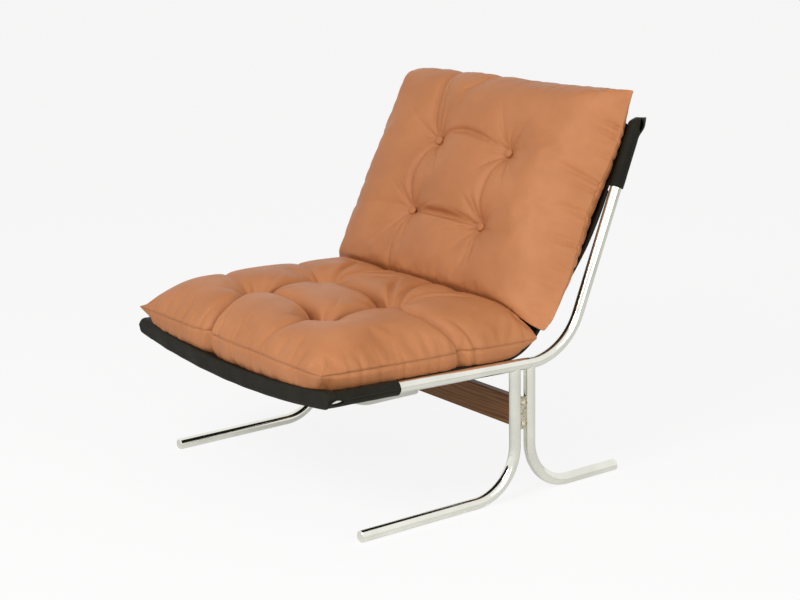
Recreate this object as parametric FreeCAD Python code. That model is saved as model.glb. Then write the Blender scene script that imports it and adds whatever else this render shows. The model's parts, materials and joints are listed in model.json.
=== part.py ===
"""Lounge chair: two bent-tube side frames, a timber stretcher, a leather sling and two loose cushions.

Sizes are millimetres. +Z is up, the chair faces -Y and +X is the sitter's left.
The origin is on the floor, below the middle of the chair's box.
"""
import FreeCAD, Part
import math
import os

Vector = FreeCAD.Vector

# Tube
TUBE_OD = 22.2
TUBE_WALL = 1.5
WELD_GAP = 0.1

# Side frames
FRAME_SPACING = 658.0
LEGS_Y = 72.8
LEG_GAP = 13.5
LEG_BEND_R = 95.0
FRONT_SKID = 356.0
REAR_SKID = 217.0
RAIL_HEIGHT = 261.0
SEAT_RISE_DEG = 2.0
CORNER_SETBACK = 88.0
SEAT_RAIL_LENGTH = 546.0
BACK_RECLINE_DEG = 22.3
BACK_RAIL_LENGTH = 455.0
RAIL_BEND_R = 125.0

# Tube plugs
PLUG_HEAD = 3.0
PLUG_BEVEL = 1.5
PLUG_STUB = 12.0
PLUG_CLEARANCE = 0.05

# Leg plates, stretcher and its fixings
PLATE_HEIGHT = 63.0
PLATE_THICKNESS = 5.0
PLATE_Z = 166.0
STRETCHER_HEIGHT = 58.0
STRETCHER_THICKNESS = 18.0
STRETCHER_ROUND = 2.5
TONGUE_CLEARANCE = 0.25
BOLT_SPACING = 41.0
BOLT_D = 6.0
BOLT_HOLE_CLEARANCE = 0.2
BOLT_THREAD_CLEARANCE = 0.05
BOLT_TAIL = 8.0
BOLT_HEAD_D = 10.5
BOLT_HEAD_H = 4.5
BOLT_HEAD_BEVEL = 2.5
NUT_D = 10.0
NUT_LENGTH = 12.0
NUT_INSET = 34.0
NUT_HOLE_CLEARANCE = 0.1

# Sling
LEATHER = 2.5
PANEL_THICKNESS = 3.0
SLING_CLEARANCE = 0.3
FRONT_SLEEVE_LENGTH = 152.0
BACK_SLEEVE_LENGTH = 122.0
PANEL_RISE = 6.0
CREASE_SETBACK = 90.0
CREASE_R = 110.0
SLING_RECLINE_DEG = 40.0
SHOULDER_R = 700.0
SAG = 22.0
FRONT_HEM_HEIGHT = 28.0
TOP_HEM_HEIGHT = 30.0
HOOD_FLAP = 33.0
HOOD_GAP = 5.0

# Cushions
CUSHION_SIDE_INSET = 7.0
CUSHION_DEPTH = 484.0
CUSHION_CROWN = 74.0
CUSHION_BELLY = 86.0
CROWN_DROP = 9.0
CROWN_ROLL = 112.0
BELLY_ROLL = 96.0
REST_CLEARANCE = 0.5
SEAT_SEAM_RISE = 43.0
SEAT_REAR_SETBACK = 72.0
BACK_FOOT_SETBACK = 57.0
BACK_FOOT_RISE = 64.0
BACK_CUSHION_RECLINE_DEG = 28.0
CORE_MARGIN = 75.0
CORE_HALF_HEIGHT = 20.0
CORE_ROUND = 18.0
CORE_CLEARANCE = 0.5

# Buttons and their cords
BUTTON_D = 17.0
BUTTON_H = 6.0
REAR_BUTTON_H = 3.0
BUTTON_SPAN_X = 224.0
BUTTON_SPAN_V = 170.0
SEAT_BUTTON_SHIFT = 16.0
BACK_BUTTON_SHIFT = -8.0
BUTTON_LEVEL = 43.0
BUTTON_SEAT_GAP = 0.3
TUFT_RADIUS = 52.0
REAR_RECESS = 6.0
RECESS_CLEARANCE = 1.5
CORD_D = 2.0
CORD_HOLE_CLEARANCE = 0.4

# Worked-out places shared by several pieces
TUBE_R = TUBE_OD / 2
BORE_R = TUBE_R - TUBE_WALL
FRAME_X = FRAME_SPACING / 2
SLEEVE_BORE_R = TUBE_R + SLING_CLEARANCE
SLEEVE_R = SLEEVE_BORE_R + LEATHER
PANEL_HALF_WIDTH = FRAME_X - SLEEVE_R - SLING_CLEARANCE
CUSHION_HALF_WIDTH = FRAME_X - CUSHION_SIDE_INSET
RECESS_R = BUTTON_D / 2 + RECESS_CLEARANCE
FRONT_LEG_Y = LEGS_Y - (TUBE_OD + LEG_GAP) / 2
REAR_LEG_Y = LEGS_Y + (TUBE_OD + LEG_GAP) / 2
FRONT_TIP_Y = FRONT_LEG_Y - FRONT_SKID
REAR_TIP_Y = REAR_LEG_Y + REAR_SKID
SEAT_RISE = math.radians(SEAT_RISE_DEG)
BACK_RECLINE = math.radians(BACK_RECLINE_DEG)
FORWARD = Vector(0, -math.cos(SEAT_RISE), math.sin(SEAT_RISE))
SEAT_UP = Vector(0, math.sin(SEAT_RISE), math.cos(SEAT_RISE))
UPWARD = Vector(0, math.sin(BACK_RECLINE), math.cos(BACK_RECLINE))
BACK_OUT = Vector(0, -math.cos(BACK_RECLINE), math.sin(BACK_RECLINE))
ACROSS = Vector(1, 0, 0)
CORNER = Vector(0, REAR_LEG_Y + CORNER_SETBACK, RAIL_HEIGHT - CORNER_SETBACK * math.tan(SEAT_RISE))
RAIL_FRONT = CORNER + FORWARD * SEAT_RAIL_LENGTH
RAIL_TOP = CORNER + UPWARD * BACK_RAIL_LENGTH
SIDES = {"left": 1, "right": -1}


def unit(vector):
    """A copy of the vector with length 1."""
    return Vector(vector).normalize()


def sideways(point, x):
    """The point moved across the chair to x."""
    return Vector(x, point.y, point.z)


def bent_wire(points, radii):
    """Straight runs through the points, with a tangent arc of the given radius at each inner point."""
    edges = []
    start = points[0]
    for before, corner, after, radius in zip(points, points[1:], points[2:], radii):
        arriving = unit(corner - before)
        leaving = unit(after - corner)
        half_turn = arriving.getAngle(leaving) / 2
        reach = radius * math.tan(half_turn)
        arc_start = corner - arriving * reach
        arc_end = corner + leaving * reach
        arc_middle = corner + unit(leaving - arriving) * (radius / math.cos(half_turn) - radius)
        edges.append(Part.LineSegment(start, arc_start).toShape())
        edges.append(Part.Arc(arc_start, arc_middle, arc_end).toShape())
        start = arc_end
    edges.append(Part.LineSegment(start, points[-1]).toShape())
    return Part.Wire(edges)


def pipe(path, radius):
    """A solid round bar along the path."""
    first = path.OrderedEdges[0]
    start = first.valueAt(first.FirstParameter)
    circle = Part.makeCircle(radius, start, first.tangentAt(first.FirstParameter))
    return path.makePipe(Part.Face(Part.Wire(circle)))


def hollow_tube(path):
    """The frame's tube along the path."""
    return pipe(path, TUBE_R).cut(pipe(path, BORE_R))


def rod(start, direction, radius, length):
    """A cylinder from start along direction."""
    return Part.makeCylinder(radius, length, start, direction)


def capped_rod(base, axis, radius, length, bevel):
    """A cylinder whose far rim is bevelled, as a button, a bolt head or a plug."""
    body = rod(base, axis, radius, length - bevel)
    crown = Part.makeCone(radius, radius - bevel, bevel, base + axis * (length - bevel), axis)
    return body.fuse(crown).removeSplitter()


def rail_path(x):
    """The bent line of one seat-and-back rail."""
    corners = [sideways(p, x) for p in (RAIL_FRONT, CORNER, RAIL_TOP)]
    return bent_wire(corners, [RAIL_BEND_R])


def rail_height_at(y):
    """Height of the seat rail's axis above the floor."""
    return CORNER.z + (CORNER.y - y) * math.tan(SEAT_RISE)


def leg_path(x, leg_y, tip_y):
    """The bent line of one leg, from its skid tip to the rail's axis."""
    tip = Vector(x, tip_y, TUBE_R)
    heel = Vector(x, leg_y, TUBE_R)
    head = Vector(x, leg_y, rail_height_at(leg_y))
    return bent_wire([tip, heel, head], [LEG_BEND_R])


def leg(x, leg_y, tip_y):
    """One leg tube, its top coped to sit under the rail."""
    saddle = pipe(rail_path(x), TUBE_R + WELD_GAP)
    return hollow_tube(leg_path(x, leg_y, tip_y)).cut(saddle)


def tube_plug(end, outward):
    """A bevelled plug that closes a tube end, with its stub in the bore."""
    head = capped_rod(end, outward, TUBE_R, PLUG_HEAD, PLUG_BEVEL)
    return head.fuse(rod(end, outward * -1, BORE_R - PLUG_CLEARANCE, PLUG_STUB))


def foot_plugs():
    """The plugs in the four skid tips."""
    made = []
    for side in SIDES.values():
        made.append(tube_plug(Vector(side * FRAME_X, FRONT_TIP_Y, TUBE_R), Vector(0, -1, 0)))
        made.append(tube_plug(Vector(side * FRAME_X, REAR_TIP_Y, TUBE_R), Vector(0, 1, 0)))
    return Part.makeCompound(made)


def rail_plugs():
    """The plugs in the four rail ends, inside the sleeves."""
    made = []
    for side in SIDES.values():
        made.append(tube_plug(sideways(RAIL_FRONT, side * FRAME_X), FORWARD))
        made.append(tube_plug(sideways(RAIL_TOP, side * FRAME_X), UPWARD))
    return Part.makeCompound(made)


def bolt_rows():
    """Heights of the two bolts in each leg plate."""
    return (PLATE_Z - BOLT_SPACING / 2, PLATE_Z + BOLT_SPACING / 2)


def leg_plate(side):
    """The plate welded between a pair of legs, with its two bolt holes."""
    x = side * FRAME_X
    base = Vector(x - PLATE_THICKNESS / 2, FRONT_LEG_Y, PLATE_Z - PLATE_HEIGHT / 2)
    plate = Part.makeBox(PLATE_THICKNESS, REAR_LEG_Y - FRONT_LEG_Y, PLATE_HEIGHT, base)
    for leg_y in (FRONT_LEG_Y, REAR_LEG_Y):
        plate = plate.cut(rod(Vector(x, leg_y, 0), Vector(0, 0, 1), TUBE_R + WELD_GAP, RAIL_HEIGHT))
    for z in bolt_rows():
        start = Vector(x - PLATE_THICKNESS, LEGS_Y, z)
        plate = plate.cut(rod(start, ACROSS, BOLT_D / 2 + BOLT_HOLE_CLEARANCE, 2 * PLATE_THICKNESS))
    return plate


def nut_x():
    """Distance of the barrel nuts from the chair's middle."""
    return FRAME_X - PLATE_THICKNESS / 2 - NUT_INSET


def stretcher():
    """The timber board between the side frames: its tongues fit between the legs and stop at the plates."""
    shoulder = FRAME_X - TUBE_R - TONGUE_CLEARANCE
    tongue_end = FRAME_X - PLATE_THICKNESS / 2 - TONGUE_CLEARANCE
    tongue_thickness = LEG_GAP - 2 * TONGUE_CLEARANCE
    low = PLATE_Z - STRETCHER_HEIGHT / 2
    board = Part.makeBox(
        2 * shoulder, STRETCHER_THICKNESS, STRETCHER_HEIGHT,
        Vector(-shoulder, LEGS_Y - STRETCHER_THICKNESS / 2, low),
    )
    long_edges = [e for e in board.Edges if abs(e.tangentAt(e.FirstParameter).x) > 0.99]
    board = board.makeFillet(STRETCHER_ROUND, long_edges)
    tongue = Part.makeBox(
        2 * tongue_end, tongue_thickness, STRETCHER_HEIGHT - 2 * STRETCHER_ROUND,
        Vector(-tongue_end, LEGS_Y - tongue_thickness / 2, low + STRETCHER_ROUND),
    )
    board = board.fuse(tongue).removeSplitter()
    bolt_depth = NUT_INSET + BOLT_TAIL + PLATE_THICKNESS
    for side in SIDES.values():
        for z in bolt_rows():
            mouth = Vector(side * FRAME_X, LEGS_Y, z)
            board = board.cut(rod(mouth, ACROSS * -side, BOLT_D / 2 + BOLT_HOLE_CLEARANCE, bolt_depth))
            nut_floor = Vector(side * nut_x(), LEGS_Y - NUT_LENGTH / 2 - NUT_HOLE_CLEARANCE, z)
            nut_hole_r = NUT_D / 2 + NUT_HOLE_CLEARANCE
            board = board.cut(rod(nut_floor, Vector(0, 1, 0), nut_hole_r, STRETCHER_THICKNESS))
    return board


def stretcher_bolts():
    """Four round-headed bolts through the leg plates."""
    bolts = []
    shank = PLATE_THICKNESS + NUT_INSET + NUT_D / 2 + BOLT_HOLE_CLEARANCE
    for side in SIDES.values():
        for z in bolt_rows():
            seat = Vector(side * (FRAME_X + PLATE_THICKNESS / 2), LEGS_Y, z)
            head = capped_rod(seat, ACROSS * side, BOLT_HEAD_D / 2, BOLT_HEAD_H, BOLT_HEAD_BEVEL)
            bolts.append(head.fuse(rod(seat, ACROSS * -side, BOLT_D / 2, shank)).removeSplitter())
    return Part.makeCompound(bolts)


def barrel_nuts():
    """Four cross-drilled nuts, let into the stretcher from behind."""
    nuts = []
    for side in SIDES.values():
        for z in bolt_rows():
            start = Vector(side * nut_x(), LEGS_Y - NUT_LENGTH / 2, z)
            nut = rod(start, Vector(0, 1, 0), NUT_D / 2, NUT_LENGTH)
            bore_start = Vector(side * nut_x() - NUT_D, LEGS_Y, z)
            nuts.append(nut.cut(rod(bore_start, ACROSS, BOLT_D / 2 + BOLT_THREAD_CLEARANCE, 2 * NUT_D)))
    return Part.makeCompound(nuts)


def sling_edge(overrun=0.0):
    """The sling's side edge from the side: along the seat rail, up from the crease, along the back rail."""
    slope = math.radians(SLING_RECLINE_DEG)
    climb = Vector(0, math.sin(slope), math.cos(slope))
    front = RAIL_FRONT + SEAT_UP * PANEL_RISE + FORWARD * overrun
    crease = CORNER + FORWARD * CREASE_SETBACK + SEAT_UP * PANEL_RISE
    top = RAIL_TOP + BACK_OUT * PANEL_RISE + UPWARD * overrun
    square_on = unit(climb - UPWARD * climb.dot(UPWARD))
    reach = (top - crease).dot(square_on) / climb.dot(square_on)
    shoulder = crease + climb * reach
    return bent_wire([front, crease, shoulder, top], [CREASE_R, SHOULDER_R])


def sling_section(point, normal, half, upper, lower):
    """A thin arched strip across the sling, between two heights above the leather's middle."""
    bow = SAG / PANEL_HALF_WIDTH ** 2
    arcs = []
    for height in (upper, lower):
        tips = [point + ACROSS * x + normal * (height + bow * half ** 2 - SAG) for x in (half, -half)]
        arcs.append((tips[0], point + normal * (height - SAG), tips[1]))
    edges = [Part.Arc(*arc).toShape() for arc in arcs]
    for k in (0, 2):
        edges.append(Part.LineSegment(arcs[0][k], arcs[1][k]).toShape())
    return Part.Face(Part.Wire(Part.sortEdges(edges)[0]))


def sling_sweep(half, upper, lower, overrun=0.0):
    """An arched layer that follows the sling from its front edge to its top edge."""
    path = sling_edge(overrun)
    start = path.OrderedEdges[0].valueAt(path.OrderedEdges[0].FirstParameter)
    return path.makePipe(sling_section(start, SEAT_UP, half, upper, lower))


def sling_panel():
    """The leather sheet that hangs between the four sleeves."""
    return sling_sweep(PANEL_HALF_WIDTH, PANEL_THICKNESS / 2, -PANEL_THICKNESS / 2)


def sling_front_hem():
    """The doubled band that closes the front edge and the front sleeves, hanging in a shallow curve."""
    half = FRONT_HEM_HEIGHT / 2
    base = RAIL_FRONT + FORWARD * (PLUG_HEAD + SLING_CLEARANCE)
    bow_r = (FRAME_X ** 2 + SAG ** 2) / (2 * SAG)
    swing = math.asin(FRAME_X / bow_r)

    def at(radius, angle):
        rise = bow_r - SAG - radius * math.cos(angle)
        return base + ACROSS * (radius * math.sin(angle)) + SEAT_UP * rise

    upper = Part.Arc(at(bow_r - half, -swing), at(bow_r - half, 0), at(bow_r - half, swing))
    lower = Part.Arc(at(bow_r + half, swing), at(bow_r + half, 0), at(bow_r + half, -swing))
    ends = []
    for sign in (1, -1):
        angle = swing * sign
        outward = ACROSS * math.cos(angle) * sign + SEAT_UP * abs(math.sin(angle))
        tip = at(bow_r, angle) + outward * half
        ends.append(Part.Arc(at(bow_r - half * sign, angle), tip, at(bow_r + half * sign, angle)))
    outline = Part.Wire([upper.toShape(), ends[0].toShape(), lower.toShape(), ends[1].toShape()])
    return Part.Face(outline).extrude(FORWARD * LEATHER)


def sling_top_hem():
    """The folded hem behind the sling's top edge, from sleeve to sleeve."""
    face = -PANEL_THICKNESS / 2 - SLING_CLEARANCE
    top = RAIL_TOP + BACK_OUT * PANEL_RISE
    strip = sling_section(top, BACK_OUT, PANEL_HALF_WIDTH - LEATHER, face, face - LEATHER)
    return strip.extrude(UPWARD * -TOP_HEM_HEIGHT)


def front_sleeve(x):
    """The leather sleeve over the front end of a rail."""
    start = sideways(RAIL_FRONT, x) + FORWARD * PLUG_HEAD
    outer = rod(start, FORWARD * -1, SLEEVE_R, FRONT_SLEEVE_LENGTH)
    return outer.cut(rod(start, FORWARD * -1, SLEEVE_BORE_R, FRONT_SLEEVE_LENGTH))


def back_sleeve_end(x):
    """The point on a rail's axis where its back sleeve ends, just past the plug."""
    return sideways(RAIL_TOP, x) + UPWARD * (PLUG_HEAD + SLING_CLEARANCE)


def hood(x, grow=0.0):
    """The hood that closes a back sleeve and folds down behind it, grown by a clearance."""
    front = SLEEVE_R + grow
    rear = -(SLEEVE_R + HOOD_GAP + LEATHER + grow)
    inner = -(SLEEVE_R + HOOD_GAP - grow)
    top = LEATHER + grow
    hem = LEATHER - HOOD_FLAP - grow
    start = back_sleeve_end(x) - ACROSS * front
    outline = [(front, -grow), (front, top), (rear, top), (rear, hem), (inner, hem), (inner, -grow)]
    corners = [start + BACK_OUT * out + UPWARD * up for out, up in outline]
    return Part.Face(Part.makePolygon(corners + corners[:1])).extrude(ACROSS * (2 * front))


def back_sleeve(x):
    """The leather sleeve over the top end of a rail, with its hood."""
    end = back_sleeve_end(x)
    tube = rod(end, UPWARD * -1, SLEEVE_R, BACK_SLEEVE_LENGTH)
    bore = rod(end, UPWARD * -1, SLEEVE_BORE_R, BACK_SLEEVE_LENGTH)
    return tube.cut(bore).fuse(hood(x)).removeSplitter()


def pillow_profile(half, height, roll, drop):
    """Outline of half a pillow from seam to seam: edge rolls that run smoothly into a shallow crown."""
    shoulder = Vector(half - roll, 0, height - drop)
    crown_r = (shoulder.x ** 2 + drop ** 2) / (2 * drop)
    inward = unit(Vector(0, 0, height - crown_r) - shoulder)
    seam = Vector(half, 0, 0)
    chord = seam - shoulder
    roll_r = chord.dot(chord) / (2 * chord.dot(inward))
    centre = shoulder + inward * roll_r
    middle = centre + unit((seam - centre) + (shoulder - centre)) * roll_r

    def mirrored(point):
        return Vector(-point.x, point.y, point.z)

    edges = [
        Part.Arc(seam, middle, shoulder).toShape(),
        Part.Arc(shoulder, Vector(0, 0, height), mirrored(shoulder)).toShape(),
        Part.Arc(mirrored(shoulder), mirrored(middle), mirrored(seam)).toShape(),
        Part.LineSegment(mirrored(seam), seam).toShape(),
    ]
    return Part.Face(Part.Wire(edges))


class Cushion:
    """One loose cushion: two sewn cover panels, a foam core, buttons on both faces and cords between them.

    Its own axes are x across the chair, v from the crease to the free end, and n towards the sitter,
    right-handed in that order.
    """

    def __init__(self, foot, along, out, button_shift):
        self.along = along
        self.out = out
        self.across = along.cross(out)
        self.button_shift = button_shift
        self.half_depth = CUSHION_DEPTH / 2
        self.centre = foot + along * self.half_depth
        self.reach = CUSHION_CROWN + CUSHION_BELLY
        self.upper_half = self.laid(self.pillow(CUSHION_CROWN, CROWN_ROLL))
        lower = self.pillow(CUSHION_BELLY, BELLY_ROLL).mirror(Vector(), Vector(0, 0, 1))
        self.lower_half = self.laid(lower).cut(self.rest_room())
        for side in SIDES.values():
            x = side * FRAME_X
            sleeve_room = pipe(rail_path(x), SLEEVE_R + REST_CLEARANCE)
            self.lower_half = self.lower_half.cut(sleeve_room).cut(hood(x, REST_CLEARANCE))

    def pillow(self, height, roll):
        """Half a pillow over the seam plane: what its side view and its end view have in common."""
        across = pillow_profile(CUSHION_HALF_WIDTH, height, roll, CROWN_DROP)
        along = pillow_profile(self.half_depth, height, roll, CROWN_DROP)
        along.rotate(Vector(), Vector(0, 0, 1), 90)
        across.translate(Vector(0, -CUSHION_DEPTH, 0))
        along.translate(Vector(-2 * CUSHION_HALF_WIDTH, 0, 0))
        bar = across.extrude(Vector(0, 2 * CUSHION_DEPTH, 0))
        return bar.common(along.extrude(Vector(4 * CUSHION_HALF_WIDTH, 0, 0)))

    def rest_room(self):
        """The space that the sling fills below the cushion, with its clearance."""
        half = CUSHION_HALF_WIDTH + CUSHION_BELLY
        return sling_sweep(half, PANEL_THICKNESS / 2 + REST_CLEARANCE, -self.reach, CUSHION_DEPTH / 2)

    def place(self, x, v, n):
        """The point of the chair at cushion coordinates x, v, n."""
        return self.centre + self.across * x + self.along * v + self.out * n

    def laid(self, shape):
        """A shape drawn in cushion coordinates, moved to its place in the chair."""
        turn = FreeCAD.Matrix(
            self.across.x, self.along.x, self.out.x, self.centre.x,
            self.across.y, self.along.y, self.out.y, self.centre.y,
            self.across.z, self.along.z, self.out.z, self.centre.z,
            0, 0, 0, 1,
        )
        return shape.transformed(turn)

    def buttons(self):
        """Cushion x and v of each button."""
        return [
            (x, self.button_shift + v)
            for x in (-BUTTON_SPAN_X / 2, BUTTON_SPAN_X / 2)
            for v in (-BUTTON_SPAN_V / 2, BUTTON_SPAN_V / 2)
        ]

    def rear_level(self, x, v):
        """Height of the rear button's seat over the seam plane, below it and so negative."""
        needle = Part.LineSegment(self.place(x, v, -self.reach), self.place(x, v, 0)).toShape()
        inside = needle.common(self.lower_half)
        return min((p.Point - self.centre).dot(self.out) for p in inside.Vertexes) + REAR_RECESS

    def tufts(self, upper):
        """The hollows that the buttons of one face sit in."""
        hollows = []
        for x, v in self.buttons():
            if upper:
                rise = CUSHION_CROWN - BUTTON_LEVEL
                floor = self.place(x, v, BUTTON_LEVEL)
                hollows.append(Part.makeCone(RECESS_R, TUFT_RADIUS, rise, floor, self.out))
            else:
                floor = self.place(x, v, self.rear_level(x, v))
                hollows.append(rod(floor, self.out * -1, RECESS_R, self.reach))
        return Part.makeCompound(hollows)

    def block(self, grow):
        """The foam core's rounded slab, grown by a clearance."""
        half_x = CUSHION_HALF_WIDTH - CORE_MARGIN + grow
        half_v = self.half_depth - CORE_MARGIN + grow
        half_n = CORE_HALF_HEIGHT + grow
        slab = Part.makeBox(2 * half_x, 2 * half_v, 2 * half_n, Vector(-half_x, -half_v, -half_n))
        upright = [e for e in slab.Edges if abs(e.tangentAt(e.FirstParameter).z) > 0.99]
        return self.laid(slab.makeFillet(CORE_ROUND, upright))

    def drilled(self, solid):
        """The solid with a hole for each button's cord."""
        for x, v in self.buttons():
            start = self.place(x, v, -self.reach)
            solid = solid.cut(rod(start, self.out, CORD_D / 2 + CORD_HOLE_CLEARANCE, 2 * self.reach))
        return solid

    def cover(self, upper):
        """One cover panel with its wadding, hollowed for the core and tufted at the buttons."""
        half = self.upper_half if upper else self.lower_half
        return self.drilled(half.cut(self.block(CORE_CLEARANCE)).cut(self.tufts(upper)))

    def core(self):
        """The foam core."""
        return self.drilled(self.block(0.0))

    def button_set(self, upper):
        """The four buttons of one face, seated in their tufts."""
        made = []
        height = BUTTON_H if upper else REAR_BUTTON_H
        for x, v in self.buttons():
            if upper:
                seat = self.place(x, v, BUTTON_LEVEL + BUTTON_SEAT_GAP)
                made.append(capped_rod(seat, self.out, BUTTON_D / 2, height, height / 2))
            else:
                seat = self.place(x, v, self.rear_level(x, v) - BUTTON_SEAT_GAP)
                made.append(capped_rod(seat, self.out * -1, BUTTON_D / 2, height, height / 2))
        return Part.makeCompound(made)

    def cords(self):
        """The four tufting cords, from button to button."""
        made = []
        for x, v in self.buttons():
            low = self.rear_level(x, v) - BUTTON_SEAT_GAP
            length = BUTTON_LEVEL + BUTTON_SEAT_GAP - low
            made.append(rod(self.place(x, v, low), self.out, CORD_D / 2, length))
        return Part.makeCompound(made)


def seat_cushion():
    """The seat cushion, parallel to the seat rails."""
    foot = CORNER + FORWARD * SEAT_REAR_SETBACK + SEAT_UP * SEAT_SEAM_RISE
    return Cushion(foot, FORWARD, SEAT_UP, SEAT_BUTTON_SHIFT)


def back_cushion():
    """The back cushion, leaning on the sling."""
    lean = math.radians(BACK_CUSHION_RECLINE_DEG)
    along = Vector(0, math.sin(lean), math.cos(lean))
    out = Vector(0, -math.cos(lean), math.sin(lean))
    foot = CORNER + Vector(0, -BACK_FOOT_SETBACK, BACK_FOOT_RISE)
    return Cushion(foot, along, out, BACK_BUTTON_SHIFT)


def side_frame(name, side):
    """The tubes and plate of one side frame, and the sling's sleeves on it."""
    x = side * FRAME_X
    return {
        f"{name}_rail": hollow_tube(rail_path(x)),
        f"{name}_front_leg": leg(x, FRONT_LEG_Y, FRONT_TIP_Y),
        f"{name}_rear_leg": leg(x, REAR_LEG_Y, REAR_TIP_Y),
        f"{name}_leg_plate": leg_plate(side),
        f"{name}_front_sleeve": front_sleeve(x),
        f"{name}_back_sleeve": back_sleeve(x),
    }


def build():
    """Every piece of the chair by name."""
    pieces = {}
    for name, side in SIDES.items():
        pieces.update(side_frame(name, side))
    pieces["foot_plugs"] = foot_plugs()
    pieces["rail_plugs"] = rail_plugs()
    pieces["stretcher"] = stretcher()
    pieces["stretcher_bolts"] = stretcher_bolts()
    pieces["stretcher_barrel_nuts"] = barrel_nuts()
    pieces["sling_panel"] = sling_panel()
    pieces["sling_front_hem"] = sling_front_hem()
    pieces["sling_top_hem"] = sling_top_hem()
    for name, cushion in (("seat", seat_cushion()), ("back", back_cushion())):
        pieces[f"{name}_cushion_cover_front"] = cushion.cover(True)
        pieces[f"{name}_cushion_cover_rear"] = cushion.cover(False)
        pieces[f"{name}_cushion_core"] = cushion.core()
        pieces[f"{name}_cushion_buttons"] = cushion.button_set(True)
        pieces[f"{name}_cushion_rear_buttons"] = cushion.button_set(False)
        pieces[f"{name}_cushion_tuft_cords"] = cushion.cords()
    return pieces


os.makedirs("parts", exist_ok=True)
for node, shape in build().items():
    shape.exportStep(f"parts/{node}.step")
    box = shape.BoundBox
    print(
        f"{node}: {len(shape.Solids)} solid, valid {shape.isValid()}, {shape.Volume / 1000:.1f} cm3,"
        f" x {box.XMin:.1f}..{box.XMax:.1f}, y {box.YMin:.1f}..{box.YMax:.1f},"
        f" z {box.ZMin:.1f}..{box.ZMax:.1f}"
    )
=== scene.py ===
import json
import math
from collections import namedtuple
from dataclasses import dataclass

import bmesh
import bpy
import numpy as np
from mathutils import Matrix, Vector, noise


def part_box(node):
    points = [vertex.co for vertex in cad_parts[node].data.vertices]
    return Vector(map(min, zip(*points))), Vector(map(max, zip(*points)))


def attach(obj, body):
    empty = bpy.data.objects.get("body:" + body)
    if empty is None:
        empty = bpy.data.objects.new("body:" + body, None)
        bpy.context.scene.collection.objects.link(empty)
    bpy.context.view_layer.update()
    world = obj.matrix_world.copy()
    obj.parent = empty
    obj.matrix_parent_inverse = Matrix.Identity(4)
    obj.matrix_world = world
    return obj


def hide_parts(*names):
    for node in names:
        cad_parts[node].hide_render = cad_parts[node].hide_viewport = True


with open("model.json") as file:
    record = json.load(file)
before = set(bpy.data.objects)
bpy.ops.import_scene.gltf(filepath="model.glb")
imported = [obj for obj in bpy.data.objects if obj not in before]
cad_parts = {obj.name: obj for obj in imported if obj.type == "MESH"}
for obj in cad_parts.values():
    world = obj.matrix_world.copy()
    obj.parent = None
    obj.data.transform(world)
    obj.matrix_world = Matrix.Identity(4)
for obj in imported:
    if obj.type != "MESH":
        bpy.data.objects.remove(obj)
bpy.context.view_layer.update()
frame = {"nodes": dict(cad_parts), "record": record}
MM = 0.001
TINY = 1e-12


def mm(*sizes):
    """Millimetres as metres."""
    return tuple(size * MM for size in sizes)


def unit(vector):
    """The vector with length 1."""
    return vector / np.linalg.norm(vector)


def axes(lean):
    """Up and forward as y and z, in the side view, of a part that leans back by an angle."""
    return np.array([math.sin(lean), math.cos(lean)]), np.array([-math.cos(lean), math.sin(lean)])


# Frame of the chair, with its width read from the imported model, and its rails in the side view as y and z
RAIL_LOW, RAIL_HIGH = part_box("left_rail")
FRAME_X = (RAIL_LOW.x + RAIL_HIGH.x) / 2
SIDES = {"left": 1, "right": -1}
SEAT_RISE = math.radians(2.0)
BACK_RECLINE = math.radians(22.3)
SEAT_UP, FORWARD = axes(SEAT_RISE)
UPWARD, BACK_OUT = axes(BACK_RECLINE)
SEAT_RAIL = 546.0 * MM
BACK_RAIL = 455.0 * MM
RAIL_CORNER = np.array([178.65, 257.93]) * MM
RAIL_FRONT = RAIL_CORNER + FORWARD * SEAT_RAIL
RAIL_TOP = RAIL_CORNER + UPWARD * BACK_RAIL

# Sling sheet
LEATHER = 2.5 * MM
SLEEVE_R = 13.9 * MM
PANEL_GAP = 0.3 * MM
PANEL_HALF = FRAME_X - SLEEVE_R - PANEL_GAP
PANEL_THICKNESS = 3.0 * MM
PANEL_RISE = 6.0 * MM
PANEL_COLUMNS = 85
CREASE_SETBACK = 90.0 * MM
CREASE_R = 110.0 * MM
SLING_RECLINE = math.radians(40.0)
SLING_CLIMB = axes(SLING_RECLINE)[0]
SHOULDER_R = 700.0 * MM
LINE_STEP = 4 * MM
SAG = 22.0 * MM
WAIST = 4.0 * MM
WAIST_POWER = 0.7
SLACK_SIZE, SLACK_DEPTH, SLACK_TOP = mm(55, 0.9, 0.4)
RIPPLE_REACH, RIPPLE_LENGTH, RIPPLE_DEPTH = mm(40, 9, 0.8)

# Hems, front band, sleeves and stitching of the sling
FRONT_SLEEVE = 152.0 * MM
BACK_SLEEVE = 122.0 * MM
SIDE_HEM, SIDE_HEM_TOP, SIDE_HEM_R, SIDE_HEM_LEATHER = mm(13, 4, 2.7, 2)
SIDE_HEM_INSET = 1.0 * MM
SIDE_HEM_MARGIN = 6.0 * MM
TOP_HEM, TOP_HEM_FRONT, TOP_HEM_R, TOP_HEM_LEATHER = mm(30, 10, 3.2, 2.2)
BAND_HALF = 15.0 * MM
BAND_GAP = 3.3 * MM
BAND_CURL = 5.0 * MM
BAND_CURL_SHARE = 0.6
BAND_TUCK = 12.0 * MM
BAND_COLUMNS = 121
BAND_CROWDING = 0.35
BAND_TIP = 0.006
BAND_WAVE, BAND_WAVE_DEPTH, BAND_FULLNESS, BAND_INWARD = mm(42, 1.8, 0.9, 0.3)
FRONT_LEAD, BACK_LEAD = mm(3, 3.3)
FRONT_SEAM = math.radians(-12.0)
BACK_SEAM = math.radians(-15.0)
FRONT_SLIT, BACK_SLIT = mm(16, -2)
SLIT_LENGTH = 28.0 * MM
SLIT_WIDTH = 8.0 * MM
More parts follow.
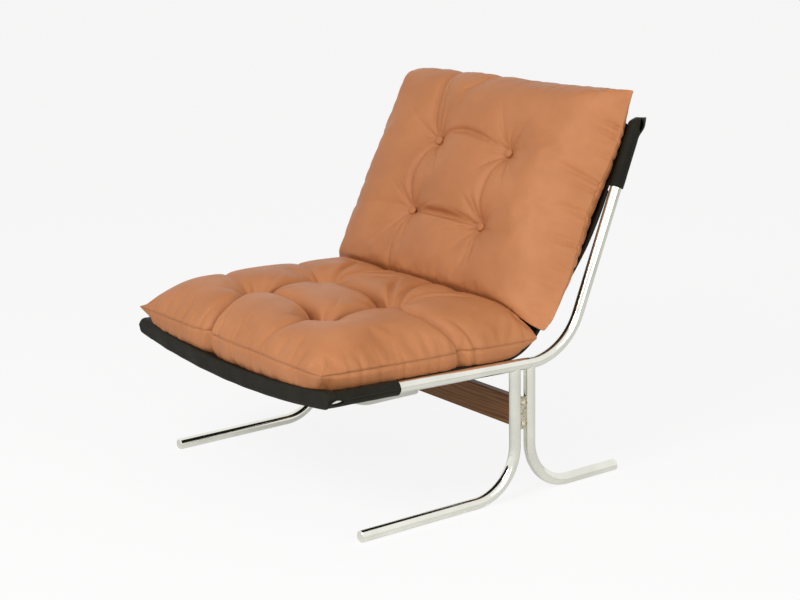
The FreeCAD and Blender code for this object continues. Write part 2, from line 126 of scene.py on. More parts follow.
HOOD_FLARE = 9.0 * MM
HOOD_START = 22.0 * MM
HOOD_FULL = -5.0 * MM
HOOD_LENGTH = 20.0 * MM
HOOD_FRONT, HOOD_MIDDLE, HOOD_REAR = mm(5, 16, 22)
WRAP_STEP = 2.0 * MM
WRAP_SIDES = 49
WRAP_MERGE = 0.02 * MM
LAP = 0.9 * MM
LAP_TURN = 0.5
LAP_STITCH_TURN = 0.3
WRAP_WAVE, WRAP_WAVE_DEPTH, WRAP_INWARD = mm(26, 0.6, 0.1)
STITCH_PITCH = 6.0 * MM
STITCH_LENGTH = 4.2 * MM
STITCH_R = 0.5 * MM
STITCH_INSET = 4.0 * MM
STITCH_SIGHT = 1.0 * MM
STITCH_RISE, STITCH_DIP = 0.5, 1.1
STITCH_FULL, STITCH_TAPER = 1.15, 0.55
HEM_SEAM_MARGIN, SIDE_SEAM_INSET, TOP_SEAM_INSET, SIDE_SEAM_RISE = mm(8, 2, 3, 0.1)

# Buttons across the chair, their rows on the seat and on the back, and the seams, in mm from the middle
FAR, NEAR = -112, 112
REAR, FRONT = -58, 101
LOW, HIGH = -90, 66
SIDE, END = 322, 242

# Cushions
HALF_WIDTH = SIDE * MM
HALF_DEPTH = END * MM
CROWN = 74.0 * MM
BELLY = 86.0 * MM
CROWN_DROP = 6.0 * MM
BELLY_CORNER = (0.2, 0.2)
BELLY_ROUND, BELLY_ROUND_REACH, BELLY_ROUND_DEPTH = mm(11, 35, 22)
SIDE_PULL = 3.0 * MM
CORNER_REACH = 80.0 * MM
WANDER_REACH = 45.0 * MM
EAR = 5.0 * MM
EAR_REACH = 30.0 * MM
AT_SEAM = 0.97
SEAM_TUCK = 0.7
UNDER_FOLD = 55.0 * MM
FOLD_POINTS = 25
FOLD_BLEND = 4
TUFT_FULL = 0.7
UNDER_FULL = 0.5
COVER_COLUMNS, COVER_ROWS = 120, 92
OUTLINE_POINTS = 4001
REST_GAP = 1.0 * MM
CONTACT_GAP = 0.6 * MM
REAR_DIMPLE = 9.0 * MM

# Simulation of a cover
SIM_FRAMES = 20
CLOTH = {
    "quality": 6, "mass": 0.12, "air_damping": 2.0, "use_pressure": True, "uniform_pressure_force": 3.0,
    "tension_stiffness": 60.0, "compression_stiffness": 40.0, "shear_stiffness": 25.0,
    "bending_stiffness": 10.0, "tension_damping": 10.0, "compression_damping": 10.0, "shear_damping": 10.0,
}
MOVE_CAP = 9.0 * MM
FOLD_KEEP = 18.0 * MM
FOLD_KEEP_MOST = 0.9

# Fine wrinkles and the sewn groove of a cover
RANDOM_SEED = 7
UPPER_SHARE = 0.6
SEAM_SHARE = 0.99
CREASE_REACH = 4
SHARP_WIDTH = 3.4 * MM
SHARP_SHARE = 0.5
WRINKLE_WIDTH = 4.0 * MM
WRINKLES = 15
WRINKLE_LENGTHS = mm(24, 100)
WRINKLE_BEND = 7.0 * MM
WRINKLE_TURN = 0.2
PUCKER_WIDTH = 4.6 * MM
PUCKER_PITCH = 26.0 * MM
PUCKER_LENGTHS = mm(14, 62)
PUCKER_MARGIN, PUCKER_SHIFT, PUCKER_LEAN = mm(30, 9, 10)
PUCKER_SHARES = (0.1, 1.0)
SEAM_WIDTH = 1.4 * MM
SEAM_DEPTH = 1.0 * MM

# Buttons and tufting cords
BUTTON_R = 10.0 * MM
BUTTON_H = 6.0 * MM
BUTTON_RISE = 1.0 * MM
BUTTON_ROUND = 0.6
BUTTON_TOP = 0.97
GATHERS = 9
GATHER_DEPTH = 0.02
REAR_BUTTON_R = 0.8 * BUTTON_R
REAR_BUTTON_H = 0.6 * BUTTON_H
CORD_R = 1.2 * MM
CORD_STRANDS = 3
CORD_GROOVE = 0.2
CORD_LAY = 6.0 * MM

# Plane where the two cushions press against each other, as y and z
BACK_LEAN = math.radians(28.0)
BACK_ALONG, BACK_FACE = axes(BACK_LEAN)
CONTACT_RISE = unit(SEAT_UP + BACK_FACE)
CONTACT_NORMAL = np.array([CONTACT_RISE[1], -CONTACT_RISE[0]])
CONTACT = sum(
    np.array(sum(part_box(f"{name}_cushion_core"), Vector())[1:]) / 2 - HALF_DEPTH * along
    for name, along in (("seat", FORWARD), ("back", BACK_ALONG))
) / 2

# Camera at the photo's viewpoint
IMAGE_WIDTH = 800
FOCAL_PIXELS = 1737.0
SENSOR = 36.0
CAMERA_PLACE = Vector((2724.662, -1942.958, 1172.005)) * MM
CAMERA_AZIMUTH = math.radians(54.066)
CAMERA_ELEVATION = math.radians(14.066)
CAMERA_ROLL = math.radians(-1.044)
VIEW_DEPTH = 100.0

# Floor, surroundings and lamps
WHITE = (1.0, 1.0, 1.0)
BLACK = (0.0, 0.0, 0.0)
FLOOR_HALF = 40.0
FLOOR_COLOUR = (0.86, 0.86, 0.85, 1.0)
FLOOR_GLOW = 0.87
FLOOR_IN_METAL = 0.45
SKY_IN_METAL = 1.0
SKY_COLOUR = (1.0, 0.99, 0.97, 1.0)
SKY_LIGHT = 0.36
LAMP_TARGET = Vector((0.0, 0.0, 0.4))


# Points and meshes

def travelled(points):
    """Distance along a line of points, at each of them."""
    return np.concatenate([[0], np.cumsum(np.linalg.norm(np.diff(points, axis=0), axis=1))])


def values_at(places, way, values):
    """Rows of values at places along a line, where way is the distance along it of each row."""
    return np.stack([np.interp(places, way, column) for column in values.T], axis=-1)


def in_chair(x, flat):
    """Points from x, across the chair, and from y and z in its side view."""
    return np.concatenate([np.broadcast_to(x, flat.shape[:-1])[..., None], flat], axis=-1)


def around(count):
    """Evenly spaced angles round a circle."""
    return np.linspace(0, 2 * math.pi, count, endpoint=False)


def waves(points, size, height):
    """Smooth unevenness for an array of points, the same in every run."""
    flat = points.reshape(-1, 3) / size
    return height * np.array([noise.noise(Vector(p)) for p in flat]).reshape(points.shape[:-1])


def scene_object(name, data):
    """A new object in the scene."""
    piece = bpy.data.objects.new(name, data)
    bpy.context.scene.collection.objects.link(piece)
    return piece


def mesh_object(name, points, faces):
    """A new smooth mesh object from points in metres."""
    mesh = bpy.data.meshes.new(name)
    mesh.from_pydata([tuple(p) for p in points], [], [tuple(f) for f in faces])
    mesh.polygons.foreach_set("use_smooth", [True] * len(mesh.polygons))
    mesh.update()
    return scene_object(name, mesh)


def grid_faces(rows, columns, closed=False):
    """Quads of a grid of points stored row by row; a closed grid joins its last column to its first."""
    faces = []
    last = columns if closed else columns - 1
    for r in range(rows - 1):
        for c in range(last):
            d = (c + 1) % columns
            faces.append((r * columns + c, r * columns + d, (r + 1) * columns + d, (r + 1) * columns + c))
    return faces


def capped(rings):
    """Points and faces of a closed tube through rings of points."""
    count, size = rings.shape[:2]
    last = (count - 1) * size
    caps = [tuple(reversed(range(size))), tuple(range(last, last + size))]
    return rings.reshape(-1, 3), grid_faces(count, size, closed=True) + caps


def joined(parts):
    """Points and faces of several parts together."""
    all_points, all_faces = [], []
    for points, faces in parts:
        all_faces += [tuple(i + len(all_points) for i in face) for face in faces]
        all_points += list(points)
    return all_points, all_faces


# Materials

def new_material(name):
    """A material with its node tree and its shader."""
    material = bpy.data.materials.new(name)
    material.use_nodes = True
    tree = material.node_tree
    return material, tree, tree.nodes["Principled BSDF"]


def set_inputs(tree, node, inputs):
    """Set a node's inputs, each to a value or to another node's output."""
    for name, value in inputs.items():
        if isinstance(value, bpy.types.NodeSocket):
            tree.links.new(value, node.inputs[name])
        else:
            node.inputs[name].default_value = value


def add(tree, kind, inputs, **properties):
    """A new node with its inputs and properties."""
    node = tree.nodes.new(kind)
    for name, value in properties.items():
        setattr(node, name, value)
    set_inputs(tree, node, inputs)
    return node


def object_coordinates(tree, scale=(1.0, 1.0, 1.0)):
    """Object coordinates, stretched by scale."""
    place = add(tree, "ShaderNodeTexCoord", {}).outputs["Object"]
    return add(tree, "ShaderNodeMapping", {"Vector": place, "Scale": scale}).outputs["Vector"]


def noise_of(tree, vector, size, detail=3.0, roughness=0.55):
    """Noise whose features are about size metres wide."""
    inputs = {"Vector": vector, "Scale": 1.0 / size, "Detail": detail, "Roughness": roughness}
    return add(tree, "ShaderNodeTexNoise", inputs).outputs["Fac"]


def ramp(tree, value, stops):
    """A colour ramp over a value."""
    node = add(tree, "ShaderNodeValToRGB", {"Fac": value})
    elements = node.color_ramp.elements
    while len(elements) < len(stops):
        elements.new(0.5)
    for element, (position, colour) in zip(elements, stops):
        element.position = position
        element.color = (*colour, 1.0)
    return node.outputs["Color"]


def scaled(tree, value, low, high):
    """A value from 0..1 brought to low..high."""
    return add(tree, "ShaderNodeMapRange", {"Value": value, "To Min": low, "To Max": high}).outputs["Result"]


def compute(tree, operation, *values):
    """The outcome of a Math node."""
    return add(tree, "ShaderNodeMath", dict(enumerate(values)), operation=operation).outputs[0]


def bump(tree, height, distance, strength, **under):
    """A bump of the given depth; under may hold the Normal of another bump that it lies on."""
    inputs = {"Height": height, "Distance": distance, "Strength": strength, **under}
    return add(tree, "ShaderNodeBump", inputs).outputs["Normal"]


def leather(name, colours, roughness, shine, grain, grain_depth):
    """Grained leather with a slightly uneven dye and polish."""
    material, tree, shader = new_material(name)
    vector = object_coordinates(tree)
    dye = noise_of(tree, vector, 90 * MM, 4.0)
    polish = noise_of(tree, vector, 35 * MM)
    grain_inputs = {"Vector": vector, "Scale": 1.0 / grain}
    cells = add(tree, "ShaderNodeTexVoronoi", grain_inputs, feature="DISTANCE_TO_EDGE")
    pores = ramp(tree, cells.outputs["Distance"], [(0.0, BLACK), (0.28, WHITE)])
    creases = noise_of(tree, vector, 14 * MM, 5.0, 0.62)
    set_inputs(tree, shader, {
        "Base Color": ramp(tree, dye, list(zip((0.25, 0.5, 0.75), colours))),
        "Roughness": scaled(tree, polish, roughness - 0.07, roughness + 0.07),
        "Normal": bump(tree, creases, 1.0 * MM, 0.4, Normal=bump(tree, pores, grain_depth, 0.5)),
        "Specular IOR Level": shine,
    })
    return material


def chrome():
    """Bright plated tube with fine wiping marks and a few dull patches."""
    material, tree, shader = new_material("chrome_tube")
    vector = object_coordinates(tree)
    haze = noise_of(tree, vector, 60 * MM, 4.0)
    wipes = noise_of(tree, vector, 14 * MM, 6.0, 0.7)
    ripple = noise_of(tree, vector, 22 * MM, 2.0)
    set_inputs(tree, shader, {
        "Base Color": ramp(tree, haze, [(0.3, (0.72, 0.72, 0.65)), (0.7, (0.85, 0.85, 0.77))]),
        "Metallic": 1.0,
        "Roughness": scaled(tree, wipes, 0.05, 0.17),
        "Normal": bump(tree, ripple, 0.15 * MM, 0.15),
    })
    return material


def raw_steel(name, light, dark):
    """Plain plated steel that has dulled and pitted."""
    material, tree, shader = new_material(name)
    pits = noise_of(tree, object_coordinates(tree), 3.5 * MM, 4.0, 0.7)
    set_inputs(tree, shader, {
        "Base Color": ramp(tree, pits, [(0.36, dark), (0.5, light), (0.8, light)]),
        "Metallic": 0.75,
        "Roughness": scaled(tree, pits, 0.55, 0.3),
        "Normal": bump(tree, pits, 0.4 * MM, 0.5),
    })
    return material


def timber():
    """Dark oiled timber with its grain along the board."""
    material, tree, shader = new_material("timber")
    figure = noise_of(tree, object_coordinates(tree, (1.0, 16.0, 16.0)), 170 * MM, 6.0, 0.6)
    board = object_coordinates(tree, (0.6, 5.0, 5.0))
    ring_inputs = {"Vector": board, "Scale": 9.0, "Distortion": 7.0, "Detail": 3.0}
    rings = add(tree, "ShaderNodeTexWave", ring_inputs, bands_direction="Z").outputs["Fac"]
    pores = noise_of(tree, object_coordinates(tree, (1.0, 30.0, 30.0)), 60 * MM, 4.0)
    stops = [(0.35, (0.12, 0.045, 0.011)), (0.6, (0.215, 0.086, 0.023)), (0.95, (0.31, 0.14, 0.045))]
    set_inputs(tree, shader, {
        "Base Color": ramp(tree, compute(tree, "MULTIPLY_ADD", rings, 0.35, figure), stops),
        "Roughness": scaled(tree, figure, 0.38, 0.55),
        "Specular IOR Level": 0.25,
        "Normal": bump(tree, pores, 0.3 * MM, 0.35),
    })
    return material


def woven(name, dark, light):
    """A plain fibrous stuff for cord, thread and foam."""
    material, tree, shader = new_material(name)
    fibres = noise_of(tree, object_coordinates(tree), 2 * MM, 4.0)
    set_inputs(tree, shader, {
        "Base Color": ramp(tree, fibres, [(0.3, dark), (0.7, light)]),
        "Normal": bump(tree, fibres, 0.4 * MM, 0.6),
        "Roughness": 0.9,
    })
    return material


CARAMEL = [(0.455, 0.171, 0.0615), (0.502, 0.194, 0.073), (0.55, 0.219, 0.0865)]
NEAR_BLACK = [(0.007, 0.0063, 0.0032), (0.011, 0.0099, 0.0055), (0.017, 0.0153, 0.0089)]
THREAD = woven("thread", (0.012, 0.011, 0.007), (0.04, 0.037, 0.028))
SURFACES = {
    "chrome_tube": chrome(),
    "leg_plate": raw_steel("leg_plate", (0.62, 0.56, 0.44), (0.16, 0.13, 0.09)),
    "fixings": raw_steel("fixings", (0.72, 0.66, 0.53), (0.3, 0.25, 0.17)),
    "timber": timber(),
    "sling_leather": leather("sling_leather", NEAR_BLACK, 0.5, 0.12, 1.0 * MM, 0.35 * MM),
    "cushion_leather": leather("cushion_leather", CARAMEL, 0.46, 0.3, 1.3 * MM, 0.25 * MM),
    "foam": woven("foam", (0.74, 0.68, 0.52), (0.86, 0.82, 0.7)),
    "cord": woven("cord", (0.12, 0.07, 0.04), (0.24, 0.15, 0.1)),
}


def dress(piece, body, slot, *nodes, material=None):
    """Give a piece its body and its slot's or another material, and hide the CAD nodes that it stands for."""
    piece.data.materials.clear()
    piece.data.materials.append(material or SURFACES[slot])
    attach(piece, body)
    if nodes:
        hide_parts(*nodes)
    return piece


def finish_cad_nodes():
    """Give every CAD node the material of its slot."""
    for part in frame["record"]["subparts"]:
        piece = frame["nodes"][part["node"]]
        piece.data.materials.clear()
        piece.data.materials.append(SURFACES[part["material_slot"]])


# Stage

def place_camera():
    """The camera at the photo's viewpoint."""
    sin_a, cos_a = math.sin(CAMERA_AZIMUTH), math.cos(CAMERA_AZIMUTH)
    sin_e, cos_e = math.sin(CAMERA_ELEVATION), math.cos(CAMERA_ELEVATION)
    sin_r, cos_r = math.sin(CAMERA_ROLL), math.cos(CAMERA_ROLL)
    back = Vector((sin_a * cos_e, -cos_a * cos_e, sin_e))
    right = Vector((cos_a, sin_a, 0.0))
    up = back.cross(right)
    data = bpy.data.cameras.new("camera")
    data.sensor_fit = "HORIZONTAL"
    data.sensor_width = SENSOR
    data.lens = FOCAL_PIXELS * SENSOR / IMAGE_WIDTH
    data.clip_end = VIEW_DEPTH
    camera = scene_object("camera", data)
    turn = Matrix((right * cos_r + up * sin_r, up * cos_r - right * sin_r, back)).transposed()
    camera.matrix_world = Matrix.Translation(CAMERA_PLACE) @ turn.to_4x4()
    bpy.context.scene.camera = camera


def seen_directly(tree, in_metal):
    """1 for camera and transmission rays, a share for glossy ones, 0 for the rays that light the chair."""
    rays = add(tree, "ShaderNodeLightPath", {}).outputs
    seen = compute(tree, "MAXIMUM", rays["Is Camera Ray"], rays["Is Transmission Ray"])
    return compute(tree, "MAXIMUM", seen, compute(tree, "MULTIPLY", rays["Is Glossy Ray"], in_metal))


def show_mix(tree, output, share, lit, seen):
    """Send a mix of two shaders to an output node."""
    mix = add(tree, "ShaderNodeMixShader", {"Fac": share, 1: lit.outputs[0], 2: seen.outputs[0]})
    set_inputs(tree, tree.nodes[output], {"Surface": mix.outputs[0]})


def floor():
    """A wide pale floor that keeps the chair's soft shadow."""
    corners = [(-1, -1, 0), (1, -1, 0), (1, 1, 0), (-1, 1, 0)]
    piece = mesh_object("floor", np.array(corners) * FLOOR_HALF, [(0, 1, 2, 3)])
    material, tree, shader = new_material("floor")
    set_inputs(tree, shader, {"Base Color": FLOOR_COLOUR, "Roughness": 0.9})
    glow = add(tree, "ShaderNodeEmission", {"Color": (*WHITE, 1.0), "Strength": 1.0})
    share = compute(tree, "MULTIPLY", seen_directly(tree, FLOOR_IN_METAL), FLOOR_GLOW)
    show_mix(tree, "Material Output", share, shader, glow)
    piece.data.materials.append(material)


def sky():
    """Even studio light from all round, seen as white."""
    world = bpy.data.worlds.new("studio")
    world.use_nodes = True
    tree = world.node_tree
    light = tree.nodes["Background"]
    set_inputs(tree, light, {"Color": SKY_COLOUR, "Strength": SKY_LIGHT})
    seen = add(tree, "ShaderNodeBackground", {"Color": (*WHITE, 1.0), "Strength": 1.0})
    show_mix(tree, "World Output", seen_directly(tree, SKY_IN_METAL), light, seen)
    bpy.context.scene.world = world


def lamp(name, place, size, power):
    """A soft square lamp that points at the chair."""
    data = bpy.data.lights.new(name, "AREA")
    data.shape = "SQUARE"
    data.size = size
    data.energy = power
    piece = scene_object(name, data)
    piece.location = place
    piece.rotation_euler = (LAMP_TARGET - Vector(place)).to_track_quat("-Z", "Y").to_euler()


def build_stage():
    """Camera, floor, world and lamps."""
    place_camera()
    floor()
    sky()
    lamp("key", (0.8, -2.4, 2.3), 1.3, 54.0)
    lamp("fill", (3.0, -0.3, 1.5), 2.0, 32.0)
    bpy.context.scene.view_settings.view_transform = "Standard"


# Line and sheet of the sling

def straight(start, end, step):
    """Points along a straight run."""
    return list(np.linspace(start, end, max(2, int(np.linalg.norm(end - start) / step))))


def bent_path(corners, radii, step):
    """Evenly spaced points, and their tangents, on straight runs joined by tangent arcs."""
    points = []
    start = corners[0]
    for before, corner, after, radius in zip(corners, corners[1:], corners[2:], radii):
        arriving, leaving = unit(corner - before), unit(after - corner)
        half_turn = math.acos(np.clip(arriving @ leaving, -1, 1)) / 2
        reach = radius * math.tan(half_turn)
        centre = corner + unit(leaving - arriving) * radius / math.cos(half_turn)
        points += straight(start, corner - arriving * reach, step)
        y, z = corner - arriving * reach - centre
        hand = np.sign(arriving[0] * leaving[1] - arriving[1] * leaving[0])
        for turn in np.linspace(0, 2 * half_turn * hand, max(3, int(2 * half_turn * radius / step)))[1:-1]:
            c, s = math.cos(turn), math.sin(turn)
            points.append(centre + np.array([c * y - s * z, s * y + c * z]))
        start = corner + leaving * reach
    points = np.array(points + straight(start, corners[-1], step))
    way = travelled(points)
    points = values_at(np.linspace(0, way[-1], int(way[-1] / step) + 1), way, points)
    tangents = np.gradient(points, axis=0)
    return points, tangents / np.linalg.norm(tangents, axis=1)[:, None]


def sling_line():
    """The sling's side edge as y and z, from the front edge to the top edge, and its upward normals."""
    front = RAIL_FRONT + SEAT_UP * PANEL_RISE
    crease = RAIL_CORNER + FORWARD * CREASE_SETBACK + SEAT_UP * PANEL_RISE
    top = RAIL_TOP + BACK_OUT * PANEL_RISE
    square_on = unit(SLING_CLIMB - UPWARD * (SLING_CLIMB @ UPWARD))
    shoulder = crease + SLING_CLIMB * ((top - crease) @ square_on) / (SLING_CLIMB @ square_on)
    points, tangents = bent_path([front, crease, shoulder, top], [CREASE_R, SHOULDER_R], LINE_STEP)
    return points, np.stack([-tangents[:, 1], tangents[:, 0]], axis=1)


SLING_POINTS, SLING_NORMALS = sling_line()
SLING_WAY = travelled(SLING_POINTS)


def sling_bow(x):
    """Height of the sling's middle surface over its side edge."""
    return SAG * ((x / PANEL_HALF) ** 2 - 1)


def height_over_sling(points):
    """Distance of points from the sling's middle surface, and the direction to it, for an n by 3 array."""
    gaps = points[:, None, 1:] - SLING_POINTS[None]
    nearest = np.argmin((gaps ** 2).sum(axis=2), axis=1)
    normals = SLING_NORMALS[nearest]
    height = (gaps[np.arange(len(points)), nearest] * normals).sum(axis=1)
    return height - sling_bow(points[:, 0]), normals


def sling_place(rows, x, rise):
    """Points at x across the sling and rise above its middle surface, for rows of the sling line."""
    height = sling_bow(x) + rise
    return in_chair(x, SLING_POINTS[rows][:, None] + SLING_NORMALS[rows][:, None] * height[None, :, None])


def waisted(points, way):
    """Draw rows in a little, from the front sleeve to a back sleeve's length before the last row."""
    free = (way - FRONT_SLEEVE) / (way[-1] - FRONT_SLEEVE - BACK_SLEEVE)
    dip = np.where((free > 0) & (free < 1), np.sin(np.pi * np.clip(free, 0, 1)) ** WAIST_POWER, 0)
    points[..., 0] *= 1 - dip[:, None] * WAIST / PANEL_HALF
    return points


def leather_sheet(name, middle, thickness, *nodes, merge=False):
    """A piece of the sling: a sheet of leather from a grid of points on its middle surface."""
    piece = mesh_object(name, middle.reshape(-1, 3), grid_faces(*middle.shape[:2]))
    if merge:
        work = bmesh.new()
        work.from_mesh(piece.data)
        bmesh.ops.remove_doubles(work, verts=work.verts, dist=WRAP_MERGE)
        work.to_mesh(piece.data)
        work.free()
    solid = piece.modifiers.new("thickness", "SOLIDIFY")
    solid.thickness = thickness
    solid.offset = 0.0
    solid.use_even_offset = True
    return dress(piece, "frame", "sling_leather", *nodes)


def build_panel():
    """The leather sheet that hangs between the sleeves."""
    rows = np.arange(0, len(SLING_WAY), 2)
    way = SLING_WAY[rows]
    middle = waisted(sling_place(rows, np.linspace(-PANEL_HALF, PANEL_HALF, PANEL_COLUMNS), 0.0), way)
    slack = waves(middle, SLACK_SIZE, SLACK_DEPTH)
    pull = np.exp(-(PANEL_HALF - np.abs(middle[..., 0])) / RIPPLE_REACH)
    slack += RIPPLE_DEPTH * pull * np.sin(way / RIPPLE_LENGTH)[:, None]
    middle[..., 1:] += SLING_NORMALS[rows][:, None] * np.minimum(slack, SLACK_TOP)[..., None]
    return leather_sheet("sling_sheet", middle, PANEL_THICKNESS, "sling_panel")


# Hems of the sling

def free_rows(margin):
    """Rows of the sling line between the sleeves, less a margin at both ends."""
    past_front = SLING_WAY > FRONT_SLEEVE + margin
    return np.nonzero(past_front & (SLING_WAY < SLING_WAY[-1] - BACK_SLEEVE - margin))[0]


def turned(flat, radius, back):
    """Section of a strip turned round an edge, as distances out from the edge and up from the middle."""
    turn = np.linspace(math.pi / 2, -math.pi / 2, 9)
    round_part = np.stack([radius * np.cos(turn), radius * np.sin(turn)], axis=1)
    upper = np.stack([np.linspace(-flat, 0, 4)[:-1], np.full(3, radius)], axis=1)
    lower = np.stack([np.linspace(0, -back, 6)[1:], np.full(5, -radius)], axis=1)
    return np.concatenate([upper, round_part, lower])


def build_side_hems():
    """The turned hems along the sling's free side edges."""
    rows = free_rows(SIDE_HEM_MARGIN)
    section = turned(SIDE_HEM_TOP, SIDE_HEM_R, SIDE_HEM)
    hems = []
    for name, side in SIDES.items():
        x = side * (PANEL_HALF - SIDE_HEM_INSET + section[:, 0])
        middle = waisted(sling_place(rows, x, section[:, 1]), SLING_WAY[rows])
        hems.append(leather_sheet(f"sling_{name}_hem", middle, SIDE_HEM_LEATHER))
    return hems


def build_top_hem():
    """The hem that is turned over the sling's top edge and sewn behind it."""
    section = turned(TOP_HEM_FRONT, TOP_HEM_R, TOP_HEM)
    x = np.linspace(-PANEL_HALF + LEATHER, PANEL_HALF - LEATHER, PANEL_COLUMNS)
    height = section[:, 1:] + sling_bow(x)
    flat = SLING_POINTS[-1] + section[:, None, :1] * UPWARD + SLING_NORMALS[-1] * height[..., None]
    return leather_sheet("sling_top_fold", in_chair(x, flat), TOP_HEM_LEATHER, "sling_top_hem")


# Front band of the sling

def band_section(half):
    """Section of the front band from its lower edge up and back over the sling, as forward and up."""
    curl = min(BAND_CURL, BAND_CURL_SHARE * half)
    rise = np.stack([np.zeros(9), np.linspace(-half, half - curl, 9)], axis=1)
    turn = np.linspace(0, math.pi / 2, 7)[1:]
    top = np.stack([-curl * (1 - np.cos(turn)), half - curl + curl * np.sin(turn)], axis=1)
    tuck = np.stack([np.linspace(-curl, -curl - BAND_TUCK, 5)[1:], np.full(4, half)], axis=1)
    return np.concatenate([rise, top, tuck])


def band_stations():
    """Places across the front band, closer together towards its round ends."""
    share = np.linspace(-1, 1, BAND_COLUMNS)
    crowded = np.sin(share * math.pi / 2)
    return (FRAME_X + BAND_HALF) * (BAND_CROWDING * crowded + (1 - BAND_CROWDING) * share)


def band_half(x):
    """Half the height of the front band at x: round at its two ends."""
    over = np.maximum(np.abs(x) - FRAME_X, 0) / BAND_HALF
    return BAND_HALF * np.sqrt(np.maximum(1 - over ** 2, BAND_TIP))


def band_points(x, forward, up):
    """Points on the front band's middle surface, with its soft bulge; the arguments are arrays."""
    rise = SAG * (np.minimum(np.abs(x) / FRAME_X, 1) ** 2 - 1) + up
    flat = RAIL_FRONT + SEAT_UP * rise[..., None] + FORWARD * (BAND_GAP + LEATHER / 2 + forward)[..., None]
    points = in_chair(x, flat)
    bulge = BAND_FULLNESS * np.cos(math.pi / 2 * np.clip(up / band_half(x), -1, 1))
    bulge += waves(points, BAND_WAVE, BAND_WAVE_DEPTH)
    points[..., 1:] += FORWARD * np.maximum(bulge, -BAND_INWARD)[..., None]
    return points


def build_band():
    """The doubled band that closes the sling's front edge and the front sleeves."""
    x = band_stations()
    forward, up = np.moveaxis(np.array([band_section(half) for half in band_half(x)]), 2, 0)
    middle = band_points(np.broadcast_to(x[:, None], up.shape), forward, up)
    return leather_sheet("sling_front_band", middle, LEATHER, "sling_front_hem")


# Sleeves of the sling

@dataclass
class Wrap:
    """A leather tube round the end of one rail, with a lapped seam along its length and a slit in that seam.

    A place along it is counted from the rail's end. Where it goes below zero the tube closes to a hood.
    """

    side: int
    start: np.ndarray
    run: np.ndarray
    out: np.ndarray
    length: float
    seam: float
    slit: float
    hooded: bool
    radius: float = SLEEVE_R - LEATHER / 2

    def surface(self, way, turn):
        """Points on the middle surface and their outward directions, for places along and round it."""
        shut = np.clip(-way / HOOD_LENGTH, 0, 1) * math.pi / 2
        sideways = self.radius * np.cos(turn) * np.cos(shut)
        outward = self.radius * np.sin(turn)
        along = way
        if self.hooded:
            ease = np.clip((HOOD_START - way) / (HOOD_START - HOOD_FULL), 0, 1)
            outward = outward - HOOD_FLARE * ease ** 2 * (3 - 2 * ease) * np.maximum(-np.sin(turn), 0)
            ends = [-self.radius - HOOD_FLARE, 0.0, self.radius]
            top = np.interp(outward, ends, [HOOD_REAR, HOOD_MIDDLE, HOOD_FRONT])
            along = np.where(way < 0, -top * np.sin(shut), way)
        flat = self.start + self.run * along[..., None] + self.out * outward[..., None]
        points = in_chair(self.side * (FRAME_X + sideways), flat)
        spoke = in_chair(self.side * np.cos(turn), np.sin(turn)[..., None] * self.out)
        lap = LAP * np.exp(-((turn - self.seam) % (2 * math.pi) / LAP_TURN) ** 4)
        swell = np.maximum(waves(points, WRAP_WAVE, WRAP_WAVE_DEPTH), -WRAP_INWARD) + lap
        return points + spoke * (swell * np.cos(shut))[..., None], spoke

    def middle(self):
        """The whole middle surface as a grid, parted along the slit."""
        along = np.linspace(0, self.length, int(self.length / WRAP_STEP) + 1)
        if self.hooded:
            along = np.concatenate([np.linspace(-HOOD_LENGTH, 0, 15)[:-1], along])
        reach = (along - self.slit) / (SLIT_LENGTH / 2)
        gap = SLIT_WIDTH / 2 / self.radius * np.maximum(1 - reach ** 2, 0)
        turn = np.array([self.seam + np.linspace(g, 2 * math.pi - g, WRAP_SIDES) for g in gap])
        return self.surface(np.broadcast_to(along[:, None], turn.shape), turn)[0]

    def stitch_line(self):
        """The stitch line beside the lapped seam, from the slit on."""
        way = np.linspace(self.slit + SLIT_LENGTH / 2 + STITCH_INSET, self.length - STITCH_INSET, 60)
        points, spoke = self.surface(way, np.full(len(way), self.seam + LAP_STITCH_TURN))
        return points + spoke * LEATHER / 2, spoke


def make_wraps():
    """The sleeves: those at the front with a slit near the band, those at the back with a slit in a hood."""
    front = (RAIL_FRONT + FORWARD * FRONT_LEAD, -FORWARD, SEAT_UP)
    back = (RAIL_TOP + UPWARD * BACK_LEAD, -UPWARD, BACK_OUT)
    shapes = {
        "front": (*front, FRONT_SLEEVE, FRONT_SEAM, FRONT_SLIT, False),
        "back": (*back, BACK_SLEEVE, BACK_SEAM, BACK_SLIT, True),
    }
    return {
        f"{name}_{place}": Wrap(side, *shape)
        for place, shape in shapes.items() for name, side in SIDES.items()
    }


def build_sleeves(wraps):
    """The four sleeves on the rails."""
    return [
        leather_sheet(f"{name}_wrap", wrap.middle(), LEATHER, f"{name}_sleeve", merge=True)
        for name, wrap in wraps.items()
    ]


# Stitching of the sling

def band_seam():
    """The stitch line on the band's front face: along its lower edge and round its two ends."""
    inset = BAND_HALF - STITCH_INSET
    turn = np.linspace(-math.pi / 2, math.pi / 2, 24)
    run = np.linspace(-FRAME_X, FRAME_X, 260)
    x = np.concatenate([-FRAME_X - inset * np.cos(turn[::-1]), run, FRAME_X + inset * np.cos(turn)])
    up = np.concatenate([inset * np.sin(turn[::-1]), np.full(len(run), -inset), inset * np.sin(turn)])
    points = band_points(x, np.full(len(x), LEATHER / 2), up)
    return points, np.broadcast_to([0.0, *FORWARD], points.shape)


def side_hem_seams():
    """The stitch lines of the two side hems, on the sling's underside."""
    rows = free_rows(HEM_SEAM_MARGIN)
    rise = -SIDE_HEM_R - SIDE_HEM_LEATHER / 2 - SIDE_SEAM_RISE
    lines = []
    for side in SIDES.values():
        x = np.array([side * (PANEL_HALF - SIDE_HEM + SIDE_SEAM_INSET)])
        points = waisted(sling_place(rows, x, rise), SLING_WAY[rows])[:, 0]
        lines.append((points, in_chair(0.0, -SLING_NORMALS[rows])))
    return lines


